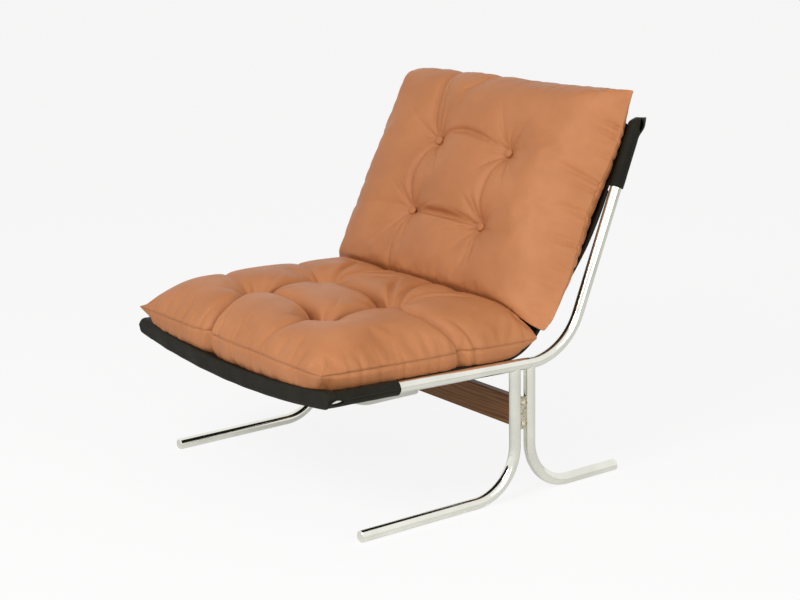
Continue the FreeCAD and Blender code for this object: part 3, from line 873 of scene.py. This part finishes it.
def top_hem_seams():
    """The stitch lines of the top hem, in front of the sling and behind it."""
    x = np.linspace(-PANEL_HALF + HEM_SEAM_MARGIN, PANEL_HALF - HEM_SEAM_MARGIN, 220)
    rise = TOP_HEM_R + TOP_HEM_LEATHER / 2
    lines = []
    for side, drop in ((1, TOP_HEM_FRONT - TOP_SEAM_INSET), (-1, TOP_HEM - STITCH_INSET)):
        flat = SLING_POINTS[-1] - UPWARD * drop + SLING_NORMALS[-1] * (sling_bow(x) + side * rise)[:, None]
        lines.append((in_chair(x, flat), np.broadcast_to([0.0, *(side * SLING_NORMALS[-1])], (len(x), 3))))
    return lines


def stitch(centre, along, out):
    """Points and faces of one stitch: a short thread that dips in at both ends."""
    share = np.linspace(-1, 1, 5)[:, None, None]
    turn = around(6)[:, None]
    rise = STITCH_R * (STITCH_RISE - STITCH_DIP * share ** 2)
    radius = STITCH_R * (STITCH_FULL - STITCH_TAPER * share ** 2)
    middle = centre + along * share * STITCH_LENGTH / 2 + out * rise
    return capped(middle + radius * (np.cross(along, out) * np.cos(turn) + out * np.sin(turn)))


def build_stitches(wraps):
    """All the stitching of the sling as one piece."""
    lines = [band_seam(), *side_hem_seams(), *top_hem_seams()]
    lines += [wrap.stitch_line() for wrap in wraps.values()]
    stitches = []
    for points, normals in lines:
        way = travelled(points)
        for at in np.arange(STITCH_PITCH / 2, way[-1], STITCH_PITCH):
            centre, ahead = values_at(np.array([at, at + STITCH_SIGHT]), way, points)
            stitches.append(stitch(centre, unit(ahead - centre + TINY), unit(values_at(at, way, normals))))
    piece = mesh_object("sling_stitching", *joined(stitches))
    return dress(piece, "frame", "sling_leather", material=THREAD)


def build_sling():
    """The whole sling: its sheet, hems, band, stitching and sleeves."""
    wraps = make_wraps()
    panel = build_panel()
    extras = build_side_hems() + [build_top_hem(), build_band(), build_stitches(wraps)] + build_sleeves(wraps)


# Folds of the cushions

Fold = namedtuple("Fold", "start bend end depth end_depth left_width right_width")


def fold(start, bend, end, depth, end_depth, left_width, right_width=None):
    """A fold from start to end, drawn towards bend, with its depths and the widths of its sides, in mm."""
    places = (np.array(p) * MM for p in (start, bend, end))
    return Fold(*places, *mm(depth, end_depth, left_width, right_width or left_width))


def mirrored(one, hand):
    """A fold for a cushion whose x runs with the chair's x, for a hand of 1, or against it, for -1."""
    places = (place * np.array([hand, 1.0]) for place in (one.start, one.bend, one.end))
    widths = (one.left_width, one.right_width)[::int(hand)]
    return Fold(*places, one.depth, one.end_depth, *widths)


SEAT_FOLDS = [
    # Round the middle puff
    fold((FAR, FRONT), (0, 70), (NEAR, FRONT), 46, 46, 10),
    fold((FAR, REAR), (0, -68), (NEAR, REAR), 42, 42, 10),
    fold((FAR, FRONT), (-104, 21), (FAR, REAR), 43, 43, 10),
    fold((NEAR, FRONT), (120, 21), (NEAR, REAR), 43, 43, 10),
    # From the buttons to the edges
    fold((FAR, FRONT), (-200, 112), (-318, 72), 12, 3, 14),
    fold((FAR, FRONT), (-62, 150), (-72, END), 40, 34, 17, 7),
    fold((NEAR, FRONT), (152, 172), (112, END), 18, 2, 20),
    fold((160, -46), (240, -22), (SIDE, -78), 5, 30, 9, 8),
    fold((NEAR, REAR), (128, -145), (150, -END), 17, 6, 13),
    fold((FAR, REAR), (-110, -145), (-95, -END), 17, 6, 13),
    fold((FAR, REAR), (-200, -72), (-SIDE, -90), 10, 2, 18),
    # Fans behind the rear buttons
    fold((FAR, REAR), (-136, -110), (-168, -180), 18, 5, 6),
    fold((FAR, REAR), (-80, -120), (-52, -200), 20, 6, 6),
    fold((FAR, REAR), (-50, -104), (4, -160), 16, 3, 6),
    fold((NEAR, REAR), (52, -100), (20, -150), 16, 3, 6),
    fold((NEAR, REAR), (78, -120), (66, -200), 20, 6, 6),
    fold((NEAR, REAR), (150, -104), (205, -166), 18, 4, 6),
    # Beside the two sharp pleats
    fold((-92, 180), (-100, 205), (-104, END), 2, 9, 7),
    fold((-40, 200), (-30, 220), (-34, END), 0, 7, 7),
    fold((262, -66), (290, -92), (SIDE, -108), 1, 8, 7),
]
BACK_FOLDS = [
    # Round the middle puff
    fold((FAR, HIGH), (-156, -12), (FAR, LOW), 9, 9, 8),
    fold((NEAR, HIGH), (76, -12), (NEAR, LOW), 8, 9, 8),
    fold((FAR, HIGH), (-40, 118), (NEAR, HIGH), 13, 7, 8),
    fold((FAR, LOW), (-10, -82), (NEAR, LOW), 20, 16, 6),
    fold((-100, -98), (-14, -99), (96, -101), 5, 4, 4),
    # From the buttons to the edges
    fold((FAR, HIGH), (-158, 120), (-165, END), 11, 11, 20),
    fold((FAR, HIGH), (-122, 134), (-140, 216), 9, 2, 9),
    fold((-80, 178), (-50, 200), (-38, END), 2, 10, 13),
    fold((FAR, HIGH), (-170, 86), (-240, 140), 7, 0, 9),
    fold((NEAR, HIGH), (90, 104), (58, 166), 8, 0, 9),
    fold((NEAR, HIGH), (180, 82), (250, 112), 5, 0, 12),
    fold((FAR, LOW), (-170, -80), (-262, -104), 9, 0, 9),
    fold((FAR, LOW), (-150, -58), (-205, -28), 8, 0, 8),
    fold((FAR, LOW), (-150, -122), (-205, -178), 7, 0, 10),
    fold((-118, -150), (-112, -185), (-108, -232), 1, 7, 8),
    fold((NEAR, LOW), (122, -142), (104, -212), 7, 0, 12),
    fold((NEAR, LOW), (160, -98), (220, -94), 5, 0, 12),
    # Wrinkles at the near seam
    fold((SIDE, 166), (312, 168), (290, 174), 16, 0, 7),
    fold((SIDE, 146), (312, 150), (286, 156), 15, 0, 6),
    fold((SIDE, 53), (305, 58), (252, 66), 17, 0, 7),
    fold((SIDE, 36), (308, 39), (276, 42), 14, 0, 6),
    fold((SIDE, -16), (312, -13), (280, -6), 15, 0, 7),
    fold((SIDE, -71), (312, -73), (276, -78), 15, 0, 7),
]

# Places where the seat cushion is less full, in mm: x across the chair, v, reach and depth
SEAT_DROPS = [(0, 21, 100, 10), (185, 45, 115, 19)]
# Places along the back cushion's near seam, in mm: v, how far it stands out, and how far it lies back
BACK_NEAR_SEAM = [
    (-END, 8, 3), (-220, 17, 16), (-171, 12, 18), (-129, 10, 22), (-86, 5, 21), (-16, -1, 18),
    (20, -2, 16), (56, 0, 18), (100, 4, 18), (150, 7, 15), (END, 8, 0),
]


def fold_depth(one, x, v):
    """How deep one fold is at the places x, v: sharp along its line, and round on both sides."""
    t = np.linspace(0, 1, FOLD_POINTS)[:, None]
    line = (1 - t) ** 2 * one.start + 2 * t * (1 - t) * one.bend + t ** 2 * one.end
    places = np.stack([x, v], axis=-1).reshape(-1, 1, 2)
    starts, runs = line[:-1], np.diff(line, axis=0)
    share = np.clip(((places - starts) * runs).sum(axis=2) / (runs ** 2).sum(axis=1), 0, 1)
    away = np.linalg.norm(places - starts - share[..., None] * runs, axis=2)
    nearest = np.argmin(away, axis=1)
    rows = np.arange(len(places))
    along = (nearest + share[rows, nearest]) / len(runs)
    depth = one.depth + (one.end_depth - one.depth) * along
    offset = places[:, 0] - starts[nearest]
    on_left = runs[nearest, 0] * offset[:, 1] > runs[nearest, 1] * offset[:, 0]
    width = np.where(on_left, one.left_width, one.right_width)
    return (depth * np.exp(-away[rows, nearest] / width)).reshape(x.shape)


# Start shape of a cushion

@dataclass
class Cushion:
    """A loose knife-edge cushion: a simulated cover with tufts, and its buttons.

    Its own axes are x along the chair's width, v from the crease to the free end, and n towards the sitter.
    The seat cushion's x runs against the chair's; folds and drops are given along the chair's x. Rolls are
    the widths of the rounded edges: the two sides, the crease end and the free end. Ears are corners drawn
    out, and corner moves shift a corner. Wrinkle and pucker are the depths of the fine creases at the buttons
    and at the seam. Facing says on which side of the contact plane the cushion lies.
    """

    name: str
    lean: tuple
    folds: list
    facing: int
    button_rows: tuple
    button_level: float
    rolls: tuple
    belly_roll: float
    tuft_width: float
    drops: list
    corner: tuple
    corner_moves: list
    end_pull: float
    ears: list
    near_seam: list
    slack: float
    wrinkle: tuple
    pucker: float

    def __post_init__(self):
        self.body = f"{self.name}_cushion"
        low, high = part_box(f"{self.name}_cushion_core")
        self.centre = np.array((low + high) / 2)
        along, out = (np.array([0.0, *way]) for way in self.lean)
        self.axes = np.array([np.cross(along, out), along, out])
        self.hand = np.sign(self.axes[0, 0])
        self.folds = [mirrored(one, self.hand) for one in self.folds]

    def buttons(self):
        """x and v of each button."""
        return [(x, v) for x in mm(FAR, NEAR) for v in self.button_rows]

    def seam_wander(self, v):
        """How far the seam at positive x stands out and lies back at each v."""
        places, out, back = np.array(self.near_seam).T * MM
        return np.interp(v, places, out), np.interp(v, places, back)

    def to_chair(self, local):
        """Cushion coordinates turned into the chair's."""
        return self.centre + local @ self.axes

    def to_cushion(self, points):
        """The chair's coordinates turned into cushion coordinates."""
        return (points - self.centre) @ self.axes.T


def outline(half, height, roll):
    """Height over the seam plane across half a pillow: an edge roll that runs into a shallow crown."""
    shoulder = np.array([half - roll, height - CROWN_DROP])
    crown_r = (shoulder[0] ** 2 + CROWN_DROP ** 2) / (2 * CROWN_DROP)
    inward = unit(np.array([0.0, height - crown_r]) - shoulder)
    chord = np.array([half, 0.0]) - shoulder
    roll_r = chord @ chord / (2 * chord @ inward)
    centre = shoulder + inward * roll_r

    def rise(x):
        away = np.abs(x)
        crown = height - crown_r + np.sqrt(np.maximum(crown_r ** 2 - away ** 2, 0))
        edge = centre[1] + np.sqrt(np.maximum(roll_r ** 2 - (away - centre[0]) ** 2, 0))
        return np.maximum(np.where(away < shoulder[0], crown, edge), 0)

    return rise


def two_sided(half, height, low_roll, high_roll):
    """An outline whose two ends have edge rolls of their own."""
    low, high = outline(half, height, low_roll), outline(half, height, high_roll)
    return lambda x: np.where(x < 0, low(x), high(x))


def even_spacing(half, rise, count):
    """Positions across a pillow, evenly spaced along its outline."""
    x = np.linspace(-half, half, OUTLINE_POINTS)
    way = travelled(np.stack([x, rise(x)], axis=1))
    places = np.interp(np.linspace(0, way[-1], count + 1), way, x)
    places[[0, -1]] = (-half, half)
    return places


def full_height(x, v, height, rolls, corner):
    """Height of half a filled pillow over its seam. Corners go from flat, 0, to full, 1, at each end."""
    across = two_sided(HALF_WIDTH, height, *rolls[:2])(x) / height
    along = two_sided(HALF_DEPTH, height, *rolls[2:])(v) / height
    fullness = np.interp(v, (-HALF_DEPTH / 2, HALF_DEPTH / 2), corner)
    return height * (across * along) ** (1 - fullness) * np.minimum(across, along) ** fullness


def from_button(x, v, button):
    """Distance of places from the edge of a button."""
    return np.maximum(np.hypot(x - button[0], v - button[1]) - BUTTON_R, 0)


def tuft_depth(cushion, x, v):
    """How deep the tufts and folds press the upper panel in."""
    dips = [fold_depth(one, x, v) for one in cushion.folds]
    for button in cushion.buttons():
        fall = np.exp(-from_button(x, v, button) / cushion.tuft_width)
        dips.append((CROWN - cushion.button_level) * fall)
    return (np.array(dips) ** FOLD_BLEND).sum(axis=0) ** (1 / FOLD_BLEND)


def tufted_height(cushion, x, v):
    """Height of the upper panel with its tufts and folds."""
    full = full_height(x, v, CROWN, cushion.rolls, cushion.corner)
    for drop_x, drop_v, reach, depth in (mm(*drop) for drop in cushion.drops):
        away = np.hypot(x * cushion.hand - drop_x, v - drop_v)
        full = full - depth * np.exp(-(away / reach) ** 2) * np.minimum(full / CROWN, 1)
    return full - tuft_depth(cushion, x, v) * np.minimum(full / (TUFT_FULL * CROWN), 1)


def at_side(one):
    """Whether a fold runs out to a side seam."""
    return abs(one.end[0]) > AT_SEAM * HALF_WIDTH


def seam_folds(cushion):
    """The folds that run out to the seam."""
    return [one for one in cushion.folds if at_side(one) or abs(one.end[1]) > AT_SEAM * HALF_DEPTH]


def belly_height(cushion, x, v):
    """Depth of the lower panel under the seam plane, with the folds that cross the seam."""
    dips = [np.zeros_like(x)]
    for one in seam_folds(cushion):
        inner = one.end - unit(one.end) * UNDER_FOLD
        widths = (one.right_width, one.left_width)
        under = Fold(one.end, (one.end + inner) / 2, inner, one.end_depth, 0.0, *widths)
        dips.append(fold_depth(under, x, v))
    full = full_height(x, v, BELLY, (cushion.belly_roll,) * 4, BELLY_CORNER)
    return full - np.max(dips, axis=0) * np.minimum(full / (UNDER_FULL * BELLY), 1)


def round_corners(x, v, depth):
    """Draw the lower panel in at its corners, more so further below the seam."""
    tip = np.hypot(HALF_WIDTH - np.abs(x), HALF_DEPTH - np.abs(v))
    inward = BELLY_ROUND * np.exp(-tip / BELLY_ROUND_REACH) * np.clip(depth / BELLY_ROUND_DEPTH, 0, 1)
    return x - np.sign(x) * inward, v - np.sign(v) * inward


def nearness(x, v, place, reach):
    """1 at a place, and less with the distance from it."""
    return np.exp(-np.hypot(x - place[0], v - place[1]) / reach)


def pull_edges_in(cushion, x, v):
    """Draw the sides in between the corners and at each fold that reaches a seam, and shape the corners."""
    x = x * (1 - SIDE_PULL / HALF_WIDTH * (1 - (v / HALF_DEPTH) ** 2))
    v = v * (1 - cushion.end_pull / HALF_DEPTH * (1 - (x / HALF_WIDTH) ** 2))
    for one in seam_folds(cushion):
        pull = SEAM_TUCK * one.end_depth * nearness(x, v, one.end, one.left_width)
        if at_side(one):
            x = x - np.sign(one.end[0]) * pull
        else:
            v = v - np.sign(one.end[1]) * pull
    x = x + cushion.seam_wander(v)[0] * np.clip(x / HALF_WIDTH, 0, 1) ** 3
    moves = [(ear, np.array(ear) * EAR, EAR_REACH) for ear in cushion.ears]
    moves += [(corner, move, CORNER_REACH) for corner, move in cushion.corner_moves]
    for (corner_x, corner_v), move, reach in moves:
        near = nearness(x, v, (corner_x * HALF_WIDTH, corner_v * HALF_DEPTH), reach)
        x, v = x + move[0] * near, v + move[1] * near
    return x, v


def cover_grid(cushion):
    """Places across and along a cover, evenly spaced over its crown."""
    xs = even_spacing(HALF_WIDTH, two_sided(HALF_WIDTH, CROWN, *cushion.rolls[:2]), COVER_COLUMNS)
    vs = even_spacing(HALF_DEPTH, two_sided(HALF_DEPTH, CROWN, *cushion.rolls[2:]), COVER_ROWS)
    return np.meshgrid(xs, vs)


def cover_mesh(cushion):
    """The filled and tufted cover before it is simulated: two panels that share their seam."""
    x, v = cover_grid(cushion)
    back = cushion.seam_wander(v)[1] * np.exp(-(HALF_WIDTH - x) / WANDER_REACH)
    upper = tufted_height(cushion, x, v) - back
    depth = belly_height(cushion, x, v) + back
    x, v = pull_edges_in(cushion, x, v)
    inner = np.zeros(x.shape, bool)
    inner[1:-1, 1:-1] = True
    top = np.stack([x, v, upper], axis=2).reshape(-1, 3)
    below = np.stack([*round_corners(x, v, depth), -depth], axis=2)[inner]
    number = np.arange(len(top)).reshape(x.shape)
    under = number.copy()
    under[inner] = len(top) + np.arange(len(below))
    under = under.ravel()
    faces = grid_faces(*x.shape)
    faces += [tuple(under[list(reversed(face))]) for face in faces]
    return np.concatenate([top, below]), faces, number[~inner], len(top)


# Filling of a cushion

def write_points(mesh, points):
    """Move the points of a mesh."""
    mesh.vertices.foreach_set("co", points.astype(np.float32).ravel())


def keep_clear(cushion, points):
    """Push points off the sling and off the plane where the cushions meet. Also says which were pushed."""
    height, normals = height_over_sling(points)
    lift = np.maximum(PANEL_THICKNESS / 2 + REST_GAP - height, 0)
    points[:, 1:] += normals * lift[:, None]
    inside = np.maximum(CONTACT_GAP - cushion.facing * ((points[:, 1:] - CONTACT) @ CONTACT_NORMAL), 0)
    points[:, 1:] += cushion.facing * CONTACT_NORMAL * inside[:, None]
    return lift > 0, inside > 0


def settle(cushion, local):
    """Rest a cover on the sling and against the other cushion. Also says which points rest there."""
    points = cushion.to_chair(local)
    resting, touching = keep_clear(cushion, points)
    local = cushion.to_cushion(points)
    for button in cushion.buttons():
        away = from_button(local[resting, 0], local[resting, 1], button)
        local[resting, 2] += REAR_DIMPLE * np.exp(-(away / (2 * BUTTON_R)) ** 2)
    return local, resting | touching


def simulate(piece, slack):
    """Fill a cover by cloth simulation, and return where its points end up."""
    scene = bpy.context.scene
    cloth = piece.modifiers.new("cloth", "CLOTH")
    for name, value in CLOTH.items():
        setattr(cloth.settings, name, value)
    cloth.settings.effector_weights.gravity = 0.0
    cloth.settings.vertex_group_mass = "hold"
    cloth.settings.shrink_min = -slack
    cloth.point_cache.frame_start = 1
    cloth.point_cache.frame_end = SIM_FRAMES
    for step in range(1, SIM_FRAMES + 1):
        scene.frame_set(step)
    evaluated = piece.evaluated_get(bpy.context.evaluated_depsgraph_get())
    points = np.array([v.co for v in evaluated.data.vertices])
    piece.modifiers.remove(cloth)
    scene.frame_set(1)
    return points


def filled(cushion, piece, points, seam, top_count):
    """The cover's points after the simulation, kept near where they started."""
    start, fixed = settle(cushion, points)
    upper_x, upper_v = points[:top_count, :2].T
    for bx, bv in cushion.buttons():
        fixed[:top_count] |= np.hypot(upper_x - bx, upper_v - bv) < BUTTON_R
    fixed[seam] = True
    piece.vertex_groups.new(name="hold").add(np.nonzero(fixed)[0].tolist(), 1.0, "REPLACE")
    write_points(piece.data, start)
    moved = simulate(piece, cushion.slack) - start
    length = np.linalg.norm(moved, axis=1, keepdims=True)
    moved *= MOVE_CAP * np.tanh(length / MOVE_CAP) / np.maximum(length, TINY)
    depth = tuft_depth(cushion, upper_x, upper_v)
    moved[:top_count] *= (1 - np.clip(depth / FOLD_KEEP, 0, FOLD_KEEP_MOST))[:, None]
    points = cushion.to_chair(start + moved)
    keep_clear(cushion, points)
    return cushion.to_cushion(points)


# Fine wrinkles and seam of a cushion

def button_creases(cushion, dice):
    """Short wrinkles that fan out from each button."""
    creases = []
    for button in cushion.buttons():
        for turn in around(WRINKLES):
            angle = turn + dice.uniform(-WRINKLE_TURN, WRINKLE_TURN)
            ray = np.array([math.cos(angle), math.sin(angle)])
            start = np.array(button) + ray * BUTTON_R
            end = start + ray * dice.uniform(*WRINKLE_LENGTHS)
            bend = (start + end) / 2 + np.array([-ray[1], ray[0]]) * dice.uniform(-WRINKLE_BEND, WRINKLE_BEND)
            depth = dice.uniform(*cushion.wrinkle)
            creases.append(Fold(start, bend, end, depth, 0.0, WRINKLE_WIDTH, WRINKLE_WIDTH))
    return creases


def seam_puckers(cushion, dice):
    """Short wrinkles square to the seam, where the leather is gathered into it."""
    creases = []
    for half, other, order in ((HALF_WIDTH, HALF_DEPTH, 1), (HALF_DEPTH, HALF_WIDTH, -1)):
        for side in (-1, 1):
            for place in np.arange(-half + PUCKER_MARGIN, half - PUCKER_MARGIN, PUCKER_PITCH):
                at = place + dice.uniform(-PUCKER_SHIFT, PUCKER_SHIFT)
                length = dice.uniform(*PUCKER_LENGTHS)
                lean = dice.uniform(-PUCKER_LEAN, PUCKER_LEAN)
                start, end = np.array([[at, side * other], [at + lean, side * (other - length)]])[:, ::order]
                depth = cushion.pucker * dice.uniform(*PUCKER_SHARES)
                creases.append(Fold(start, (start + end) / 2, end, depth, 0.0, PUCKER_WIDTH, PUCKER_WIDTH))
    return creases


def sharp_lines(cushion):
    """The sharp bottom of each main fold."""
    return [
        Fold(*one[:3], SHARP_SHARE * one.depth, SHARP_SHARE * one.end_depth, SHARP_WIDTH, SHARP_WIDTH)
        for one in cushion.folds
    ]


def crease_depth(creases, local):
    """Depth of all creases together at points given in cushion coordinates."""
    total = np.zeros(len(local))
    for one in creases:
        corners = np.array([one.start, one.bend, one.end])
        reach = CREASE_REACH * one.left_width
        low, high = corners.min(axis=0) - reach, corners.max(axis=0) + reach
        near = np.all((local[:, :2] > low) & (local[:, :2] < high), axis=1)
        if near.any():
            total[near] = np.maximum(total[near], fold_depth(one, local[near, 0], local[near, 1]))
    return total


def mark(piece, name, members):
    """A point attribute that is 1 on its members."""
    values = np.zeros(len(piece.data.vertices), np.float32)
    values[members] = 1.0
    piece.data.attributes.new(name, "FLOAT", "POINT").data.foreach_set("value", values)


def read_mark(mesh, name):
    """Values of a point attribute."""
    values = np.zeros(len(mesh.vertices), np.float32)
    mesh.attributes[name].data.foreach_get("value", values)
    return values


def read_points(mesh):
    """Points and normals of a mesh as arrays."""
    points = np.zeros(len(mesh.vertices) * 3, np.float32)
    normals = np.zeros(len(mesh.vertices) * 3, np.float32)
    mesh.vertices.foreach_get("co", points)
    mesh.vertex_normals.foreach_get("vector", normals)
    return points.reshape(-1, 3).astype(float), normals.reshape(-1, 3).astype(float)


def subdivide(piece):
    """Replace a piece's mesh by its subdivided form."""
    smooth = piece.modifiers.new("smooth", "SUBSURF")
    smooth.levels = smooth.render_levels = 1
    evaluated = piece.evaluated_get(bpy.context.evaluated_depsgraph_get())
    piece.data = bpy.data.meshes.new_from_object(evaluated)
    piece.modifiers.remove(smooth)


def crease(cushion, piece):
    """Press the fine wrinkles into a subdivided cover."""
    dice = np.random.default_rng(RANDOM_SEED)
    points, normals = read_points(piece.data)
    local = cushion.to_cushion(points)
    upper = read_mark(piece.data, "upper") > UPPER_SHARE
    depth = np.zeros(len(points))
    depth[upper] = crease_depth(sharp_lines(cushion) + button_creases(cushion, dice), local[upper])
    depth = np.maximum(depth, crease_depth(seam_puckers(cushion, dice), local))
    write_points(piece.data, points - normals * depth[:, None])


def sew(piece):
    """Turn the edge loop between the two panels into a narrow sewn groove."""
    seam = read_mark(piece.data, "seam") > SEAM_SHARE
    work = bmesh.new()
    work.from_mesh(piece.data)
    work.verts.ensure_lookup_table()
    edges = [e for e in work.edges if seam[e.verts[0].index] and seam[e.verts[1].index]]
    made = bmesh.ops.bevel(
        work, geom=edges, offset=SEAM_WIDTH, segments=2, profile=0.5, affect="EDGES", clamp_overlap=True
    )
    strip = set(made["faces"])
    work.normal_update()
    for vertex in [v for v in made["verts"] if all(f in strip for f in v.link_faces)]:
        vertex.co -= vertex.normal * SEAM_DEPTH
    work.to_mesh(piece.data)
    work.free()
    piece.data.polygons.foreach_set("use_smooth", [True] * len(piece.data.polygons))
    piece.data.update()


# Buttons and cords of a cushion

def dome(centre, across, along, out, radius, height):
    """Points and faces of one covered button, with its leather gathered at the rim."""
    share = np.linspace(0, BUTTON_TOP, 9)[:, None, None]
    turn = around(28)[:, None]
    bend = share * math.pi / 2
    ring = radius * np.cos(bend) ** BUTTON_ROUND * (1 + GATHER_DEPTH * (1 - share) * np.cos(GATHERS * turn))
    flat = across * np.cos(turn) + along * np.sin(turn)
    return capped(centre + flat * ring + out * height * np.sin(bend))


def build_buttons(cushion, cover, part, facing, radius, height):
    """The leather buttons on one face of a cushion, seated on the cover. Returns their levels."""
    local = cushion.to_cushion(read_points(cover.data)[0])
    upper = (read_mark(cover.data, "upper") > UPPER_SHARE) == (facing > 0)
    across, along, out = cushion.axes
    domes, levels = [], []
    for bx, bv in cushion.buttons():
        near = upper & (np.hypot(local[:, 0] - bx, local[:, 1] - bv) < BUTTON_R)
        levels.append(local[near, 2].mean() + facing * BUTTON_RISE)
        centre = cushion.to_chair(np.array([bx, bv, levels[-1]]))
        domes.append(dome(centre, across, along * facing, out * facing, radius, height))
    piece = mesh_object(f"{cushion.name}_cushion_{part}_covered", *joined(domes))
    dress(piece, cushion.body, "cushion_leather", f"{cushion.name}_cushion_{part}")
    return levels


def cord(cushion, button, low, high):
    """Points and faces of one twisted tufting cord, from its rear button to its front button."""
    height = np.linspace(low, high, 24)[:, None]
    turn = around(12)
    ring = CORD_R * (1 - CORD_GROOVE + CORD_GROOVE * np.abs(np.cos(CORD_STRANDS / 2 * turn)))
    angle = turn + 2 * math.pi * (height - low) / CORD_LAY
    x, v = button[0] + ring * np.cos(angle), button[1] + ring * np.sin(angle)
    return capped(cushion.to_chair(np.stack([x, v, np.broadcast_to(height, x.shape)], axis=2)))


def build_cords(cushion, lows, highs):
    """The tufting cords between the buttons of the two faces."""
    cords = [cord(cushion, *ends) for ends in zip(cushion.buttons(), lows, highs)]
    piece = mesh_object(f"{cushion.name}_cushion_twisted_cords", *joined(cords))
    dress(piece, cushion.body, "cord", f"{cushion.name}_cushion_tuft_cords")


def build_cushion(cushion):
    """One cushion with its buttons and cords."""
    points, faces, seam, top_count = cover_mesh(cushion)
    piece = mesh_object(f"{cushion.name}_cushion_cover", points, faces)
    points = filled(cushion, piece, points, seam, top_count)
    write_points(piece.data, cushion.to_chair(points))
    piece.data.update()
    mark(piece, "seam", seam)
    mark(piece, "upper", np.arange(top_count))
    subdivide(piece)
    crease(cushion, piece)
    highs = build_buttons(cushion, piece, "buttons", 1, BUTTON_R, BUTTON_H)
    lows = build_buttons(cushion, piece, "rear_buttons", -1, REAR_BUTTON_R, REAR_BUTTON_H)
    build_cords(cushion, lows, highs)
    sew(piece)
    nodes = [f"{cushion.name}_cushion_{part}" for part in ("cover_front", "cover_rear", "core")]
    dress(piece, cushion.body, "cushion_leather", *nodes)


build_stage()
finish_cad_nodes()
build_sling()
build_cushion(Cushion(
    "seat", (FORWARD, SEAT_UP), SEAT_FOLDS, facing=-1, button_rows=mm(REAR, FRONT), button_level=26 * MM,
    rolls=mm(96, 96, 56, 96), belly_roll=66 * MM, tuft_width=22 * MM, drops=SEAT_DROPS, corner=(0.7, 0.2),
    corner_moves=[((-1, 1), mm(5, -5))], end_pull=3 * MM, ears=[(1, 1), (1, -1), (-1, -1)],
    near_seam=[(0, 0, 0)], slack=0.014, wrinkle=mm(4, 9), pucker=3 * MM,
))
build_cushion(Cushion(
    "back", (BACK_ALONG, BACK_FACE), BACK_FOLDS, facing=1, button_rows=mm(LOW, HIGH), button_level=53 * MM,
    rolls=mm(42, 118, 40, 66), belly_roll=104 * MM, tuft_width=31 * MM, drops=[], corner=(0.45, 0.6),
    corner_moves=[((-1, 1), mm(8, -16)), ((-1, -1), mm(17, 0))], end_pull=6 * MM, ears=[(1, -1)],
    near_seam=BACK_NEAR_SEAM, slack=0.007, wrinkle=mm(3, 7.5), pucker=5 * MM,
))
